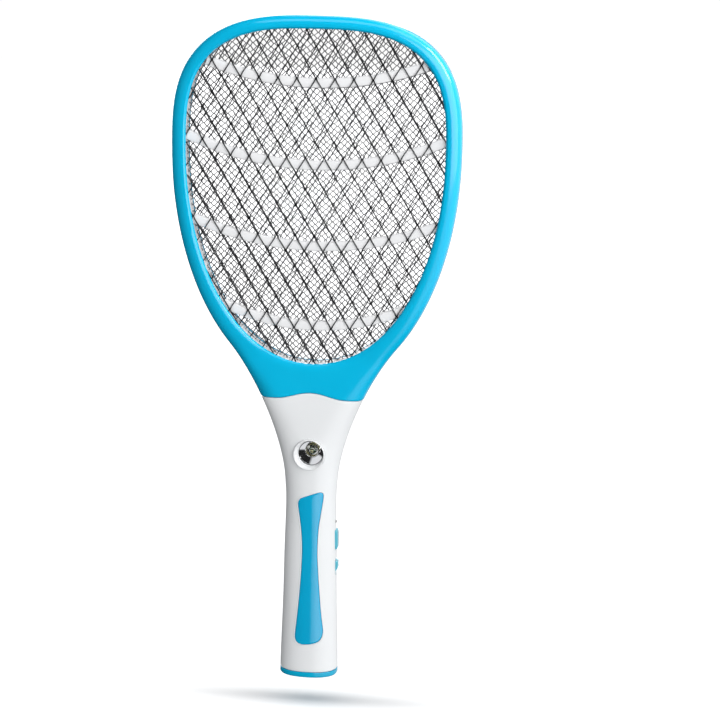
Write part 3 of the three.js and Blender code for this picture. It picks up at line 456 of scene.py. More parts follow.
def resin(name, colour, roughness, transmission):
    """Cast resin, slightly cloudy, with a glossy coat."""
    m, nodes, links, shader = material(name)
    cloud = noise(nodes, links, 500.0, 3.0)
    dark, light = tuple(c * 0.8 for c in colour), tuple(min(c * 1.15, 1) for c in colour)
    ramp(nodes, links, cloud, [(0.3, dark), (0.7, light)], shader.inputs["Base Color"])
    map_range(nodes, links, cloud, roughness * 0.6, roughness * 1.6, shader.inputs["Roughness"])
    shader.inputs["Transmission Weight"].default_value = transmission
    shader.inputs["Coat Weight"].default_value = 0.6
    return m


# Plastics: middle, dark and light colour, roughness range, coat.
BLUE = plastic("blue_plastic", (0.001, 0.425, 0.68), (0.001, 0.415, 0.67), (0.002, 0.435, 0.69),
               (0.10, 0.15), 0.2)
BUTTON = plastic("button_plastic", (0.10, 0.52, 0.66), (0.09, 0.50, 0.64), (0.11, 0.54, 0.68),
                 (0.2, 0.3), 0.2)
INLAY = plastic("blue_inlay_plastic", (0.001, 0.43, 0.72), (0.001, 0.42, 0.71), (0.002, 0.44, 0.735),
                (0.1, 0.16), 0.6)
WHITE = plastic("white_plastic", (0.905, 0.92, 0.93), (0.90, 0.914, 0.925), (0.912, 0.926, 0.935),
                (0.26, 0.31), 0.3)
RIB = plastic("rib_plastic", (0.97, 0.97, 0.98), (0.96, 0.96, 0.97), (0.98, 0.98, 0.985), (0.35, 0.5), 0.1)
BLACK = plastic("black_plastic", (0.02, 0.02, 0.022), (0.014, 0.014, 0.016), (0.03, 0.03, 0.032),
                (0.35, 0.55), 0.1)
BOARD = plastic("board_green", (0.02, 0.16, 0.06), (0.012, 0.11, 0.04), (0.03, 0.2, 0.08),
                (0.25, 0.5), 0.5, mottle=300.0)
WRAP = plastic("cell_wrap", (0.03, 0.16, 0.42), (0.02, 0.12, 0.36), (0.05, 0.2, 0.5), (0.15, 0.3), 0.7)
RED = plastic("lead_red", (0.5, 0.03, 0.02), (0.4, 0.02, 0.015), (0.6, 0.05, 0.03), (0.3, 0.5), 0.2)
LEAD_BLACK = plastic("lead_black", (0.02,) * 3, (0.012,) * 3, (0.035,) * 3, (0.3, 0.5), 0.2)
FILM = plastic("capacitor_film", (0.28, 0.045, 0.02), (0.22, 0.03, 0.014), (0.36, 0.06, 0.03),
               (0.15, 0.35), 0.6)
FERRITE = plastic("ferrite", (0.05, 0.05, 0.055), (0.03, 0.03, 0.034), (0.08, 0.08, 0.085), (0.5, 0.75), 0.0)
# Metals: dark and light colour, roughness range, scale of the streaks.
GRID = metal("grid_steel", (0.03, 0.03, 0.034), (0.10, 0.10, 0.105), (0.3, 0.5), 900.0)
FINE_GRID = metal("fine_grid_steel", (0.14, 0.14, 0.15), (0.26, 0.26, 0.28), (0.3, 0.5), 900.0)
CHROME = metal("chrome", (0.82, 0.83, 0.84), (0.92, 0.92, 0.93), (0.02, 0.07), 60.0, height=0.00001)
SCREW = metal("screw_steel", (0.38, 0.38, 0.39), (0.6, 0.6, 0.61), (0.22, 0.45), 1500.0)
CONTACT = metal("contact_metal", (0.55, 0.52, 0.45), (0.78, 0.75, 0.68), (0.18, 0.35), 500.0, (1, 1, 0.1))
# Resins: colour, roughness, transmission.
LENS = resin("torch_led_resin", (0.84, 0.84, 0.80), 0.03, 0.95)
CHIP = resin("led_phosphor", (0.40, 0.36, 0.13), 0.3, 0.0)
INDICATOR = resin("indicator_resin", (0.05, 0.012, 0.014), 0.12, 0.2)

BODY, PLUG = "swatter_body", "plug_body"

# ------------------------ head frames

LIP_SETBACK = 0.55                       # the rim's inner edge lies this far below its skin
HEAD_STEPS, SIDE_STEPS, SEAM_STEPS = 220, 14, 44
NECK_STEPS = 2 * SIDE_STEPS + SEAM_STEPS
STATIONS = [lerp(NECK_DEGREES, 180 - NECK_DEGREES, i / HEAD_STEPS) for i in range(HEAD_STEPS + 1)]
STATIONS += [lerp(180 - NECK_DEGREES, 360 + NECK_DEGREES, i / NECK_STEPS) for i in range(1, NECK_STEPS)]


def frame_boundary():
    """The head frame's outer line: round the head, down the neck and along the joint with the handle."""
    points = [head_point(d) for d in STATIONS[:HEAD_STEPS + 1]]
    left = []
    for i in range(1, SIDE_STEPS + 1):
        z = lerp(NECK_TOP_Z, SEAM_Z + GAP, i / SIDE_STEPS)
        left.append((-half_width(z), z))
    half = half_width(SEAM_Z)
    seam = []
    for i in range(1, SEAM_STEPS):
        x = lerp(-half, half, i / SEAM_STEPS)
        seam.append((x, seam_at(x) + GAP))
    return points + left + seam + [(-x, z) for x, z in reversed(left)]


def frame_ring(side):
    """A head half-shell, side -1 front or +1 rear: rolled inner lip, crowned rim, rounded shoulder."""
    steps = [0.14, 0.24, 0.36, 0.48, 0.6, 0.7, 0.78, 0.85, 0.905, 0.945, 0.972, 0.988, 0.996, 1.0]
    seam_first, seam_last = HEAD_STEPS + SIDE_STEPS, HEAD_STEPS + SIDE_STEPS + SEAM_STEPS
    rings = []
    for i, outer in enumerate(frame_boundary()):
        inner, behind = open_point(STATIONS[i]), open_offset(STATIONS[i], RECESS)
        width = math.hypot(outer[0] - inner[0], outer[1] - inner[1])
        at_seam = seam_first < i < seam_last
        ring = []
        for k in range(6):                       # rolled lip, a quarter round and a small return
            a = math.radians(-35 + 125 * k / 5)
            t = LIP_ROUND * (1 - math.cos(math.radians(90 * k / 5))) / width
            x, z = lerp(inner[0], outer[0], t), lerp(inner[1], outer[1], t)
            d = surface_depth(x, z) - LIP_SETBACK - LIP_ROUND * (1 - math.sin(max(a, 0)))
            ring.append((x, side * d, z))
        for t in steps:
            x, z = lerp(inner[0], outer[0], t), lerp(inner[1], outer[1], t)
            depth = surface_depth(x, z)
            depth -= LIP_SETBACK * max(0.0, 1 - t * width / 5.0) ** 2
            if at_seam:                          # a small round over at the joint with the handle
                left = (1 - t) * width
                depth -= 0.5 * max(0.0, 1 - left / 0.8) ** 2
            ring.append((x, side * max(depth, GAP), z))
        if at_seam:
            x, z = outer
            ring.append((x, side * max(surface_depth(x, z) - 2.4, GAP), z))
        else:
            ring.append((outer[0], side * GAP, outer[1]))
        ring += [(outer[0], side * GAP, outer[1]), (behind[0], side * GAP, behind[1]),
                 (behind[0], side * LIP_FACE, behind[1]), (inner[0], side * LIP_FACE, inner[1])]
        rings.append(ring)
    return loft(rings, closed=True)


SCREW_DEGREES = [45, 135, 5, 175, 325, 215, 293, 247]
HEAD_SCREWS = [open_offset(d, 7.3) for d in SCREW_DEGREES]
WINDOW_LOW, WINDOW_HIGH = OPEN_FLOOR_Z - 9.2, OPEN_FLOOR_Z - 0.9     # where the leads and strips pass through


def head_shell(side, cuts):
    """A head half-shell with its tongue, less the cuts."""
    y0, y1 = sorted((side * TONGUE_DEPTH, side * GAP))
    tongue = box_part(-TONGUE_HALF, TONGUE_HALF, y0, y1, SEAM_Z - TONGUE_REACH, SEAM_Z + 6)
    return boolean(boolean(raw_mesh("head_shell", *frame_ring(side)), [tongue], "UNION"), cuts)


front_mesh = head_shell(-1, [rod_y(0, NECK_SCREW_Z, 1.5, -20, 1),
                             box_part(-8, 8, -LIP_FACE, 1, WINDOW_LOW, WINDOW_HIGH)])
dress("head_front_shell", front_mesh, BLUE, BODY, ["head_front_frame"], 30)
rear_mesh = head_shell(1, [rod_y(x, z, SCREW_HOLE_R, 3.3, 20) for x, z in HEAD_SCREWS] + [
    rod_y(0, NECK_SCREW_Z, 3.2, -1, 20), box_part(-8, 8, -1, LIP_FACE, WINDOW_LOW, WINDOW_HIGH)])
dress("head_rear_shell", rear_mesh, BLUE, BODY, ["head_rear_frame"], 30)

# ------------------------ grids


def inside_opening(x, z, grow):
    angle = math.degrees(math.atan2(z - HEAD_Z, x))
    return math.hypot(x, z - HEAD_Z) < open_radius(angle) + grow


GRID_THICK = 0.8


def strand_lattice(y, cell_w, cell_h, width, thickness, substeps, tilt, knuckle, phase=(0.0, 0.0), wave=0.0):
    """Expanded metal: zig-zag strands that touch at every bond, each a slim four-sided ribbon.

    tilt leans the ribbons over, knuckle is the share of a strand that stays upright at each bond, phase
    shifts the whole lattice and wave bends it.
    """
    verts, faces = [], []
    columns = int(OPEN_HALF * 2 / cell_w) + 3
    rows = int((OPEN_TOP + OPEN_BOTTOM) / cell_h) + 4
    bond = width * 0.3
    base_z = HEAD_Z - OPEN_BOTTOM - cell_h + phase[1]
    for column in range(-columns, columns + 1):
        for way in (0, 1):
            path = []
            x0 = (column + 0.5 * way) * cell_w + phase[0]
            for row in range(2 * rows):
                # from a bond on one side of the column to a bond on the other, half a cell further up
                near_left = (row + way) % 2 == 0
                xa = x0 + (bond if near_left else cell_w / 2 - bond)
                xb = x0 + (cell_w / 2 - bond if near_left else bond)
                for s in range(substeps):
                    t = s / substeps
                    flat = min(max((t - knuckle) / (1 - 2 * knuckle), 0), 1)
                    x, z = lerp(xa, xb, flat), base_z + (row + t) * cell_h / 2
                    drift_x = wave * (math.sin(z * 0.53 + x * 0.11) + 0.7 * math.sin(x * 0.83 + z * 0.21))
                    drift_z = wave * (math.sin(x * 0.61 - z * 0.17) + 0.7 * math.sin(z * 0.37 + x * 0.29))
                    path.append((x + drift_x, z + drift_z, 1 - abs(2 * flat - 1)))
            run = []
            for point in path + [None]:
                if point and inside_opening(point[0], point[1], 2.6):
                    run.append(point)
                    continue
                if len(run) > 1:
                    start = len(verts)
                    for x, z, mid in run:
                        lean = tilt * thickness * (0.5 - mid)
                        half = width / 2 * (1.05 - 0.05 * mid)
                        front, rear = y - thickness / 2, y + thickness / 2
                        verts += [(x - half, front + lean, z), (x + half, front - lean, z),
                                  (x + half, rear - lean, z), (x - half, rear + lean, z)]
                    for k in range(len(run) - 1):
                        a, b = start + 4 * k, start + 4 * k + 4
                        faces += [(a + j, a + (j + 1) % 4, b + (j + 1) % 4, b + j) for j in range(4)]
                    last = start + 4 * (len(run) - 1)
                    faces += [(start, start + 1, start + 2, start + 3), (last + 3, last + 2, last + 1, last)]
                run = []
    return verts, faces


def border_ring(y, inner, outer, thickness, steps=220):
    """A flat band round the opening, from inner to outer behind its edge."""
    rings = []
    for i in range(steps):
        d = 360 * i / steps
        (xa, za), (xb, zb) = open_offset(d, inner), open_offset(d, outer)
        rings.append([(xa, y - thickness / 2, za), (xb, y - thickness / 2, zb),
                      (xb, y + thickness / 2, zb), (xa, y + thickness / 2, za)])
    return loft(rings, closed=True)


for grid_name, grid_y, phase in (("front", -OUTER_GRID_Y, (0.0, 4.0)), ("rear", OUTER_GRID_Y, (0.16, -0.5))):
    strands = strand_lattice(grid_y, CELL_W, CELL_H, width=0.86, thickness=0.55, substeps=5, tilt=0.4,
                             knuckle=0.06, phase=phase)
    grid_parts = merge(strands, border_ring(grid_y, 1.8, STACK, GRID_THICK))
    make(f"{grid_name}_expanded_grid", *grid_parts, GRID, BODY, [f"{grid_name}_grid"], "grid_steel", 40)
strands = strand_lattice(0.0, FINE_CELL_W, FINE_CELL_H, width=0.85, thickness=0.45, substeps=2, tilt=0.0,
                         knuckle=0.0, wave=0.3)
fine = merge(strands, border_ring(0.0, 1.8, STACK, GRID_THICK))
make("centre_fine_grid", *fine, FINE_GRID, BODY, ["centre_grid"], "grid_steel", 40)

# ------------------------ spacer and ribs


RIB_HALF, RIB_EDGE = 3.5, 0.9
RIB_RADIUS, LOWEST_RIB_RADIUS = 235, 165
SPACER_IN, SPACER_OUT = 0.7, 5.5         # a spacer's two faces, from the middle plane
REAR_RIB_DROP = 0.9


def rib_loft(z, radius, y0, y1):
    """A curved rib with rounded edges that stops just inside the spacer ring."""
    rings = []
    mid, section = (y0 + y1) / 2, rounded_loop(RIB_HALF, (y1 - y0) / 2, RIB_EDGE, 3)
    half_angle = math.asin(min(99 / radius, 0.6))
    for i in range(81):
        a = lerp(-half_angle, half_angle, i / 80)
        cx, cz = radius * math.sin(a), z + radius - radius * math.cos(a)
        if not inside_opening(cx, cz, 1.4):
            continue
        nx, nz = -math.sin(a), math.cos(a)
        rings.append([(cx + nx * across, mid + deep, cz + nz * across) for across, deep in section])
    return loft(rings)


def spacer(side):
    """A spacer ring with its four ribs. The rear ribs hang a little lower than the front ones."""
    y0, y1 = sorted((side * SPACER_IN, side * SPACER_OUT))
    low, high = OPEN_FLOOR_Z + 28.3, HEAD_Z + OPEN_TOP - 38.7
    parts = [border_ring((y0 + y1) / 2, CLEAR, STACK, y1 - y0)]
    drop = 0.0 if side < 0 else REAR_RIB_DROP
    for i in range(4):
        radius = LOWEST_RIB_RADIUS if i == 0 else RIB_RADIUS
        parts.append(rib_loft(lerp(low, high, i / 3) - drop, radius, y0, y1))
    return merge(*parts)


make("front_spacer_ribs", *spacer(-1), RIB, BODY, ["front_spacer"], "rib_plastic", 35)
make("rear_spacer_ribs", *spacer(1), RIB, BODY, ["rear_spacer"], "rib_plastic", 35)

# ------------------------ handle shells

SHELL_BOTTOM = CAP_H + CLEAR
COLUMNS = 44
ROW_SHARES = [0, 0.0012, 0.003, 0.006] + [0.006 + 0.988 * i / 84 for i in range(1, 84)]
ROW_SHARES += [0.994, 0.997, 0.9988, 1]


def shell_point(i, share, inset, side):
    """A point of the handle's skin: column i across, share of the way up, inset from the outside."""
    s = math.sin(math.pi * (i / COLUMNS - 0.5))
    top = seam_at(half_width(SEAM_Z) * s) - GAP
    z = lerp(SHELL_BOTTOM, top, share)
    half, deep = half_width(z), half_depth(z)
    x = half * s
    edge = min(share, 1 - share) * (top - SHELL_BOTTOM)
    rounding = 0.5 * max(0.0, 1 - edge / 0.65) ** 2 if not inset else 0.0
    depth = 0.0 if i in (0, COLUMNS) else surface_depth(x, z) * (deep - inset) / deep
    narrow = (half - inset) / half
    return (x * narrow * (1 - rounding / half), side * max(depth - rounding, GAP), z)


def handle_shell(side):
    """One half of the handle: an outer skin, an inner skin and the edges that join them."""
    verts, faces = [], []
    width = COLUMNS + 1
    for inset in (0, WALL):
        for share in ROW_SHARES:
            verts += [shell_point(i, share, inset, side) for i in range(width)]
    rows = len(ROW_SHARES)
    back = rows * width
    for r in range(rows - 1):
        for c in range(COLUMNS):
            a, b = r * width + c, (r + 1) * width + c
            faces.append((a, a + 1, b + 1, b))
            faces.append((back + a, back + b, back + b + 1, back + a + 1))
        for c in (0, COLUMNS):
            a, b = r * width + c, (r + 1) * width + c
            faces.append((a, b, back + b, back + a))
    for r in (0, rows - 1):
        for c in range(COLUMNS):
            a = r * width + c
            faces.append((a, a + 1, back + a + 1, back + a))
    return verts, faces


# Control points of the grip inlay's outline, as (x, z).
INLAY_POINTS = [
    (-8.1, 137.2), (-7.6, 140.6), (-5.6, 142.9), (0.0, 145.2), (5.0, 147.0), (8.6, 147.9), (10.6, 147.0),
    (11.0, 144.2), (10.1, 137.0), (8.8, 128.0), (7.6, 118.7), (7.1, 108.0), (7.1, 97.0), (8.0, 82.0),
    (9.2, 66.5), (10.5, 52.0), (11.7, 42.6), (12.1, 37.8), (11.4, 33.2), (8.8, 29.6), (4.0, 27.7),
    (-0.5, 27.0), (-4.5, 27.0), (-7.9, 28.8), (-9.2, 32.4), (-9.0, 37.0), (-8.3, 44.0), (-7.3, 54.0),
    (-6.2, 67.0), (-5.2, 82.0), (-4.6, 97.0), (-4.7, 108.0), (-5.5, 118.5), (-6.8, 128.5)]


def inlay_outline(grow=0.0, fine=6):
    """The grip inlay's outline: a smooth closed line through its control points, grown outwards."""
    n = len(INLAY_POINTS)
    line = []
    for i in range(n):
        quad = [INLAY_POINTS[(i + k) % n] for k in (-1, 0, 1, 2)]
        line += [tuple(catmull(k / fine, *[q[axis] for q in quad]) for axis in (0, 1)) for k in range(fine)]
    return shrink(line, -grow) if grow else line


def shrink(outline, d):
    """The outline moved inwards by d along its own normals."""
    n = len(outline)
    turning = sum(x0 * z1 - x1 * z0 for (x0, z0), (x1, z1) in zip(outline, outline[1:] + outline[:1]))
    way = 1 if turning > 0 else -1
    out = []
    for i in range(n):
        (x0, z0), (x1, z1) = outline[i - 1], outline[(i + 1) % n]
        dx, dz = x1 - x0, z1 - z0
        length = math.hypot(dx, dz) or 1
        out.append((outline[i][0] - way * dz / length * d, outline[i][1] + way * dx / length * d))
    return out


def patch(outline, insets, spacing, front, back):
    """A closed plate over an outline. front(x, z, distance to edge) and back(x, z) give its faces in Y."""
    n = len(outline)
    points = [Vector(p) for p in outline] + [Vector(p) for d in insets for p in shrink(outline, d)]
    loop = np.array(outline)
    deepest = insets[-1] + spacing * 0.6
    xs = np.arange(loop[:, 0].min(), loop[:, 0].max(), spacing)
    zs = np.arange(loop[:, 1].min(), loop[:, 1].max(), spacing)
    spans = np.roll(loop, -1, 0) - loop
    squares = (spans ** 2).sum(1)

    def reach(x, z):
        return distance(x, z, loop, spans, squares)

    def within(x, z):
        a, b = loop, np.roll(loop, -1, 0)
        cross = (a[:, 1] > z) != (b[:, 1] > z)
        rise = np.where(b[:, 1] == a[:, 1], 1, b[:, 1] - a[:, 1])
        at = (b[:, 0] - a[:, 0]) * (z - a[:, 1]) / rise + a[:, 0]
        return bool((cross & (x < at)).sum() % 2)

    for x in xs:
        for z in zs:
            if within(x, z) and reach(x, z) > deepest:
                points.append(Vector((x, z)))
    edges = [(i, (i + 1) % n) for i in range(n)]
    flat, _, tris, origins, _, _ = delaunay_2d_cdt(points, edges, [], 1, 1e-4)
    rim = {}
    for k, origin in enumerate(origins):
        for o in origin:
            if o < n:
                rim[o] = k
    count = len(flat)
    verts = [(p.x, front(p.x, p.y, reach(p.x, p.y)), p.y) for p in flat]
    verts += [(p.x, back(p.x, p.y), p.y) for p in flat]
    faces = [tuple(t) for t in tris] + [tuple(count + i for i in reversed(t)) for t in tris]
    for i in range(n):
        a, b = rim[i], rim[(i + 1) % n]
        faces.append((a, b, count + b, count + a))
    return verts, faces


def proud(x, z, d):
    """The inlay's front: crowned over its first 1.3 mm, then just proud of the shell."""
    rise = math.sqrt(1 - (1 - min(d / 1.3, 1)) ** 2)
    return -(surface_depth(x, z) - 0.45 + 0.8 * rise)


torch_face = -half_depth(TORCH_Z)
pocket = patch(inlay_outline(0.14), [0.6, 1.6], 3.0, lambda x, z, d: -(surface_depth(x, z) + 4),
               lambda x, z: -(surface_depth(x, z) - 1.3))


def inlay_bead():
    """A low rounded lip on the shell all round the inlay."""
    rings = []
    for (xa, za), (xb, zb) in zip(inlay_outline(0.05), inlay_outline(1.25)):
        ring = []
        for k in range(7):
            t = k / 6
            x, z = lerp(xa, xb, t), lerp(za, zb, t)
            ring.append((x, -(surface_depth(x, z) + 0.34 * math.sin(math.pi * t) - 0.05), z))
        for x, z in ((xb, zb), (xa, za)):
            ring.append((x, -(surface_depth(x, z) - 0.9), z))
        rings.append(ring)
    return loft(rings, closed=True)


def side_slot(half_y, z, half_z, radius):
    """A cutter along X with rounded corners, through the handle's right-hand side."""
    ring = rounded_loop(half_y, half_z, radius, 4)
    return bridge([(10, y, z + dz) for y, dz in ring], [(30, y, z + dz) for y, dz in ring])


side_cuts = [side_slot(4.3, BUTTON_Z, 7.8, 0.9), side_slot(3.7, SLIDE_Z, 6.7, 0.9),
             side_slot(1.8, LAMP_Z, 1.8, 1.7)]
front_shell = boolean(boolean(raw_mesh("front_shell", *handle_shell(-1)), [inlay_bead()], "UNION"), [
    pocket, rod_y(0, TORCH_Z, BEZEL_R + 0.12, torch_face - 6, torch_face + 7, 96),
    rod_y(0, TORCH_Z, REFLECTOR_R + 1.2, torch_face, torch_face + 12, 96)] + side_cuts)
dress("handle_front_cover", front_shell, WHITE, BODY, ["handle_front_shell"], 30)

HANDLE_SCREWS = [(-16.2, 39.0), (16.2, 39.0), (-12.9, 129.0), (12.9, 129.0), (0.0, NECK_SCREW_Z)]
STEM_SLOT_HALF, STEM_HALF = 3.3, 4.3     # the slot that the thumb piece's stem slides in
rear_cuts = [rod_y(x, z, SCREW_HOLE_R, 7, 30) for x, z in HANDLE_SCREWS]
rear_cuts.append(box_part(-STEM_SLOT_HALF, STEM_SLOT_HALF, 5, 30, SLIDER_Z - PLUG_TRAVEL - STEM_HALF,
                          SLIDER_Z + STEM_HALF))
rear_shell = boolean(raw_mesh("rear_shell", *handle_shell(1)), rear_cuts + side_cuts)
dress("handle_rear_cover", rear_shell, WHITE, BODY, ["handle_rear_shell"], 30)

inlay = patch(inlay_outline(), [0.12, 0.3, 0.55, 0.9, 1.4], 1.9, proud,
              lambda x, z: -(surface_depth(x, z) - 1.2))
make("grip_inlay_panel", *inlay, INLAY, BODY, ["grip_inlay"], "blue_plastic", 50)

# ------------------------ end cap


def cap_ring(z, level, inset, count=40):
    """The handle's section at a level, drawn in by inset and laid at height z."""
    half, deep = half_width(level), half_depth(level)
    out = []
    for way in (-1, 1):
        columns = range(count + 1) if way < 0 else range(count - 1, 0, -1)
        for i in columns:
            x = half * math.sin(math.pi * (i / count - 0.5))
            d = 0 if i in (0, count) else surface_depth(x, level) * (deep - inset) / deep
            out.append((x * (half - inset) / half, way * d, z))
    return out


cap_rings = [cap_ring(0.0, 0, 1.6), cap_ring(0.06, 0, 1.1), cap_ring(0.3, 0, 0.55), cap_ring(0.7, 0, 0.2),
             cap_ring(1.2, 0, 0.03), cap_ring(2.2, 2.2, 0), cap_ring(3.7, 3.7, 0), cap_ring(4.1, 4, 0.12),
             cap_ring(CAP_H, CAP_H, 0.45)]
spigot = loft([cap_ring(CAP_H - 1, 0, 2.8), cap_ring(CAP_H + 4, 0, 2.8)])
hole = [(0, -1), (PIN_R + 0.6, -1), (PIN_R + 0.6, CAP_H + 1), (0, CAP_H + 1)]
cap_cuts = [loft([cap_ring(CAP_H, 0, 4.4), cap_ring(CAP_H + 5, 0, 4.4)]),
            box_part(-4, 4, 5, 20, CAP_H, CAP_H + 9)]
cap_cuts += [lathe(hole, (side * PIN_X, PIN_Y, 0), "Z", 40) for side in (-1, 1)]
cap_mesh = boolean(boolean(raw_mesh("cap", *loft(cap_rings)), [spigot], "UNION"), cap_cuts)
dress("end_cap_cover", cap_mesh, BLUE, BODY, ["end_cap"], 28)

# ------------------------ torch

bezel_front = torch_face - BEZEL_PROUD
bowl_front = bezel_front + 3.6
BOWL_X, BOWL_Z = 1.1, TORCH_Z + 0.8      # the bowl sits a little off the ring's centre
BOWL_RIM, THROAT = 9.4, 2.6
BEZEL_BACK = torch_face + 6.7


def bezel_ring(sides=96):
    """A round ring whose dished inner face runs down to the off-centre bowl."""
    outer = [(BEZEL_R, BEZEL_BACK), (BEZEL_R, bezel_front + 1.0), (BEZEL_R - 0.1, bezel_front + 0.5),
             (BEZEL_R - 0.35, bezel_front + 0.15), (BEZEL_R - 0.7, bezel_front)]
    inner = [(0.82, 0.12), (0.6, 0.55), (0.38, 1.2), (0.2, 1.95), (0.06, 2.75), (0.0, 3.3)]
    rings = []
    for k in range(sides):
        c, s = math.cos(2 * math.pi * k / sides), math.sin(2 * math.pi * k / sides)
        ring = [(r * c, y, TORCH_Z + r * s) for r, y in outer]
        edge_x, edge_z = (BEZEL_R - 0.7) * c, TORCH_Z + (BEZEL_R - 0.7) * s
        hole_x, hole_z = BOWL_X + BOWL_RIM * c, BOWL_Z + BOWL_RIM * s
        ring += [(lerp(hole_x, edge_x, t), bezel_front + deep, lerp(hole_z, edge_z, t)) for t, deep in inner]
        ring.append((hole_x, BEZEL_BACK, hole_z))
        rings.append(ring)
    return loft(rings, closed=True)


make("torch_bezel_ring", *bezel_ring(), WHITE, BODY, ["torch_bezel"], "white_plastic", 30)


bowl_inside = []
for k in range(25):
    r = lerp(BOWL_RIM - 0.5, THROAT, k / 24)
    run = BOWL_RIM - 0.5 - r
    bowl_inside.append((r, bowl_front + 1.34 * run - 0.022 * run * run))
bowl_outside = [(r + 0.9, y - 0.1) for r, y in reversed(bowl_inside[6:])]
bowl_profile = [(BOWL_RIM - 0.05, bowl_front)] + bowl_inside + [(THROAT, bowl_inside[-1][1] + 0.5)]
bowl_profile += bowl_outside + [(BOWL_RIM - 0.05, bowl_front + 1.6)]
bowl_at = (BOWL_X, 0, BOWL_Z)
make("torch_reflector_bowl", *lathe(bowl_profile, bowl_at, "Y", 96), CHROME, BODY, ["torch_reflector"],
     "chrome", 40)
led_front, led_r, led_back = bowl_front + 4.4, 2.1, bowl_front + 8.1
dome = [math.radians(9 * k) for k in range(11)]
led_profile = [(led_r * math.sin(a), led_front + led_r * (1 - math.cos(a))) for a in dome]
led_profile += [(led_r, led_back), (0, led_back)]
make("torch_led_lens", *lathe(led_profile, bowl_at, "Y", 48, closed=False), LENS, BODY, ["torch_led"],
     "torch_led_resin", 40)
chip_y = led_front + 1.2                 # the front of the chip that shows through the lens
chip_profile = [(0, chip_y), (0.65, chip_y + 0.04), (0.9, chip_y + 0.25), (0.95, chip_y + 0.9),
                (0, chip_y + 0.9)]
make("torch_led_chip", *lathe(chip_profile, bowl_at, "Y", 32, closed=False), CHIP, BODY, (),
     "torch_led_resin", 40)

# ------------------------ controls


def soften(outline, radius, steps=4):
    """Rounds each corner of an outline."""
    out = []
    n = len(outline)
    for i in range(n):
        a, b, c = (np.array(outline[j % n], float) for j in (i - 1, i, i + 1))
        u, v = a - b, c - b
        r = min(radius, 0.45 * np.linalg.norm(u), 0.45 * np.linalg.norm(v))
        p, q = b + u / np.linalg.norm(u) * r, b + v / np.linalg.norm(v) * r
        for k in range(steps + 1):
            t = k / steps
            out.append(tuple((1 - t) ** 2 * p + 2 * (1 - t) * t * b + t * t * q))
    return out


# Both side controls stand PROUD of the handle and end in a flange ROOT inside it.
PROUD, ROOT, STEM = 1.4, 5.1, 0.6

tip, root, half = half_width(BUTTON_Z) + PROUD, half_width(BUTTON_Z) - ROOT, BUTTON_LEN / 2
line = [(root + STEM, -half), (tip - 0.5, -half), (tip, -half + 0.9), (tip, half - 3), (tip - 0.4, half - 1),
        (tip - 1.0, half), (root + STEM, half)]
cap = pillow(soften([(x, BUTTON_Z + dz) for x, dz in line], 0.7), -4, 4, 0.8)
flange = rounded_box(root, root + 1, -5, 5, BUTTON_Z - half - 1.2, BUTTON_Z + half + 1.2, 0.3)
make("zap_button_cap", *merge(cap, flange), BUTTON, "zap_button_body", ["zap_button"], "blue_plastic", 35)

tip, root, half = half_width(SLIDE_Z) + PROUD, half_width(SLIDE_Z) - ROOT, SLIDE_LEN / 2
line = [(root + STEM, -half), (tip - 2.4, -half), (tip - 0.6, -half + 2.4), (tip, -half + 3.6)]
line += [(tip - 0.45 * (k % 2), -half + 4.0 + 0.55 * k) for k in range(7)]           # thumb ridges
line += [(tip - 0.5, half), (root + STEM, half)]
cap = pillow(soften([(x, SLIDE_Z + dz) for x, dz in line], 0.35, 2), -3.4, 3.4, 0.35)
flange = rounded_box(root, root + 1, -4.6, 4.6, SLIDE_Z - half - 2.8, SLIDE_Z + half + 2.8, 0.3)
make("slide_switch_cap", *merge(cap, flange), BUTTON, "slide_switch_body_moving", ["slide_switch_knob"],
     "blue_plastic", 35)

lamp_tip, dome_height = half_width(LAMP_Z) + 0.5, 1.4
dome = [math.radians(15 * k) for k in range(1, 7)]
lamp_profile = [(0, lamp_tip - 5.5), (LAMP_R, lamp_tip - 5.5), (LAMP_R, lamp_tip - dome_height)]
lamp_profile += [(LAMP_R * math.cos(a), lamp_tip - dome_height + dome_height * math.sin(a)) for a in dome]
make("indicator_lamp", *lathe(lamp_profile, (0, 0, LAMP_Z), "X", 32, closed=False), INDICATOR, BODY,
     ["indicator_led"], "indicator_resin", 40)

# ------------------------ plug, thumb piece

(kx0, ky0, kz0), (kx1, ky1, kz1) = in_mm(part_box("plug_slider_knob"))
knob = [rounded_box(kx0, kx1, ky0, ky0 + 1.8, kz0, kz1, 0.8, 5)]
for dz in (-4, -2, 0, 2, 4):
    z = (kz0 + kz1) / 2 + dz
    knob.append(rounded_box(kx0 + 1.1, kx1 - 1.1, ky0 + 1.2, ky1, z - 0.6, z + 0.6, 0.45, 4))
make("plug_thumb_piece", *merge(*knob), BLUE, PLUG, ["plug_slider_knob"], "blue_plastic", 35)
for side, label in ((-1, "left"), (1, "right")):
    (_, _, tip), (_, _, end) = in_mm(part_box(f"plug_pin_{label}"))
    pin = [(0, tip), (0.7, tip), (1.2, tip + 0.12), (1.65, tip + 0.5), (1.92, tip + 1.1), (PIN_R, tip + 1.8),
           (PIN_R, end - 9), (1.9, end - 8.8), (1.9, end), (0, end)]
    turned = lathe(pin, (side * PIN_X, PIN_Y, 0), "Z", 40, closed=False)
    make(f"plug_pin_{label}_turned", *turned, CONTACT, PLUG, [f"plug_pin_{label}"], "contact_metal", 30)

# ------------------------ screws

HEAD_HEIGHT, PITCH = 1.6, 0.45
CROSS = ((-1.35, -0.28), (1.35, -0.28), (1.35, 0.28), (-1.35, 0.28))     # one bar of the cross recess


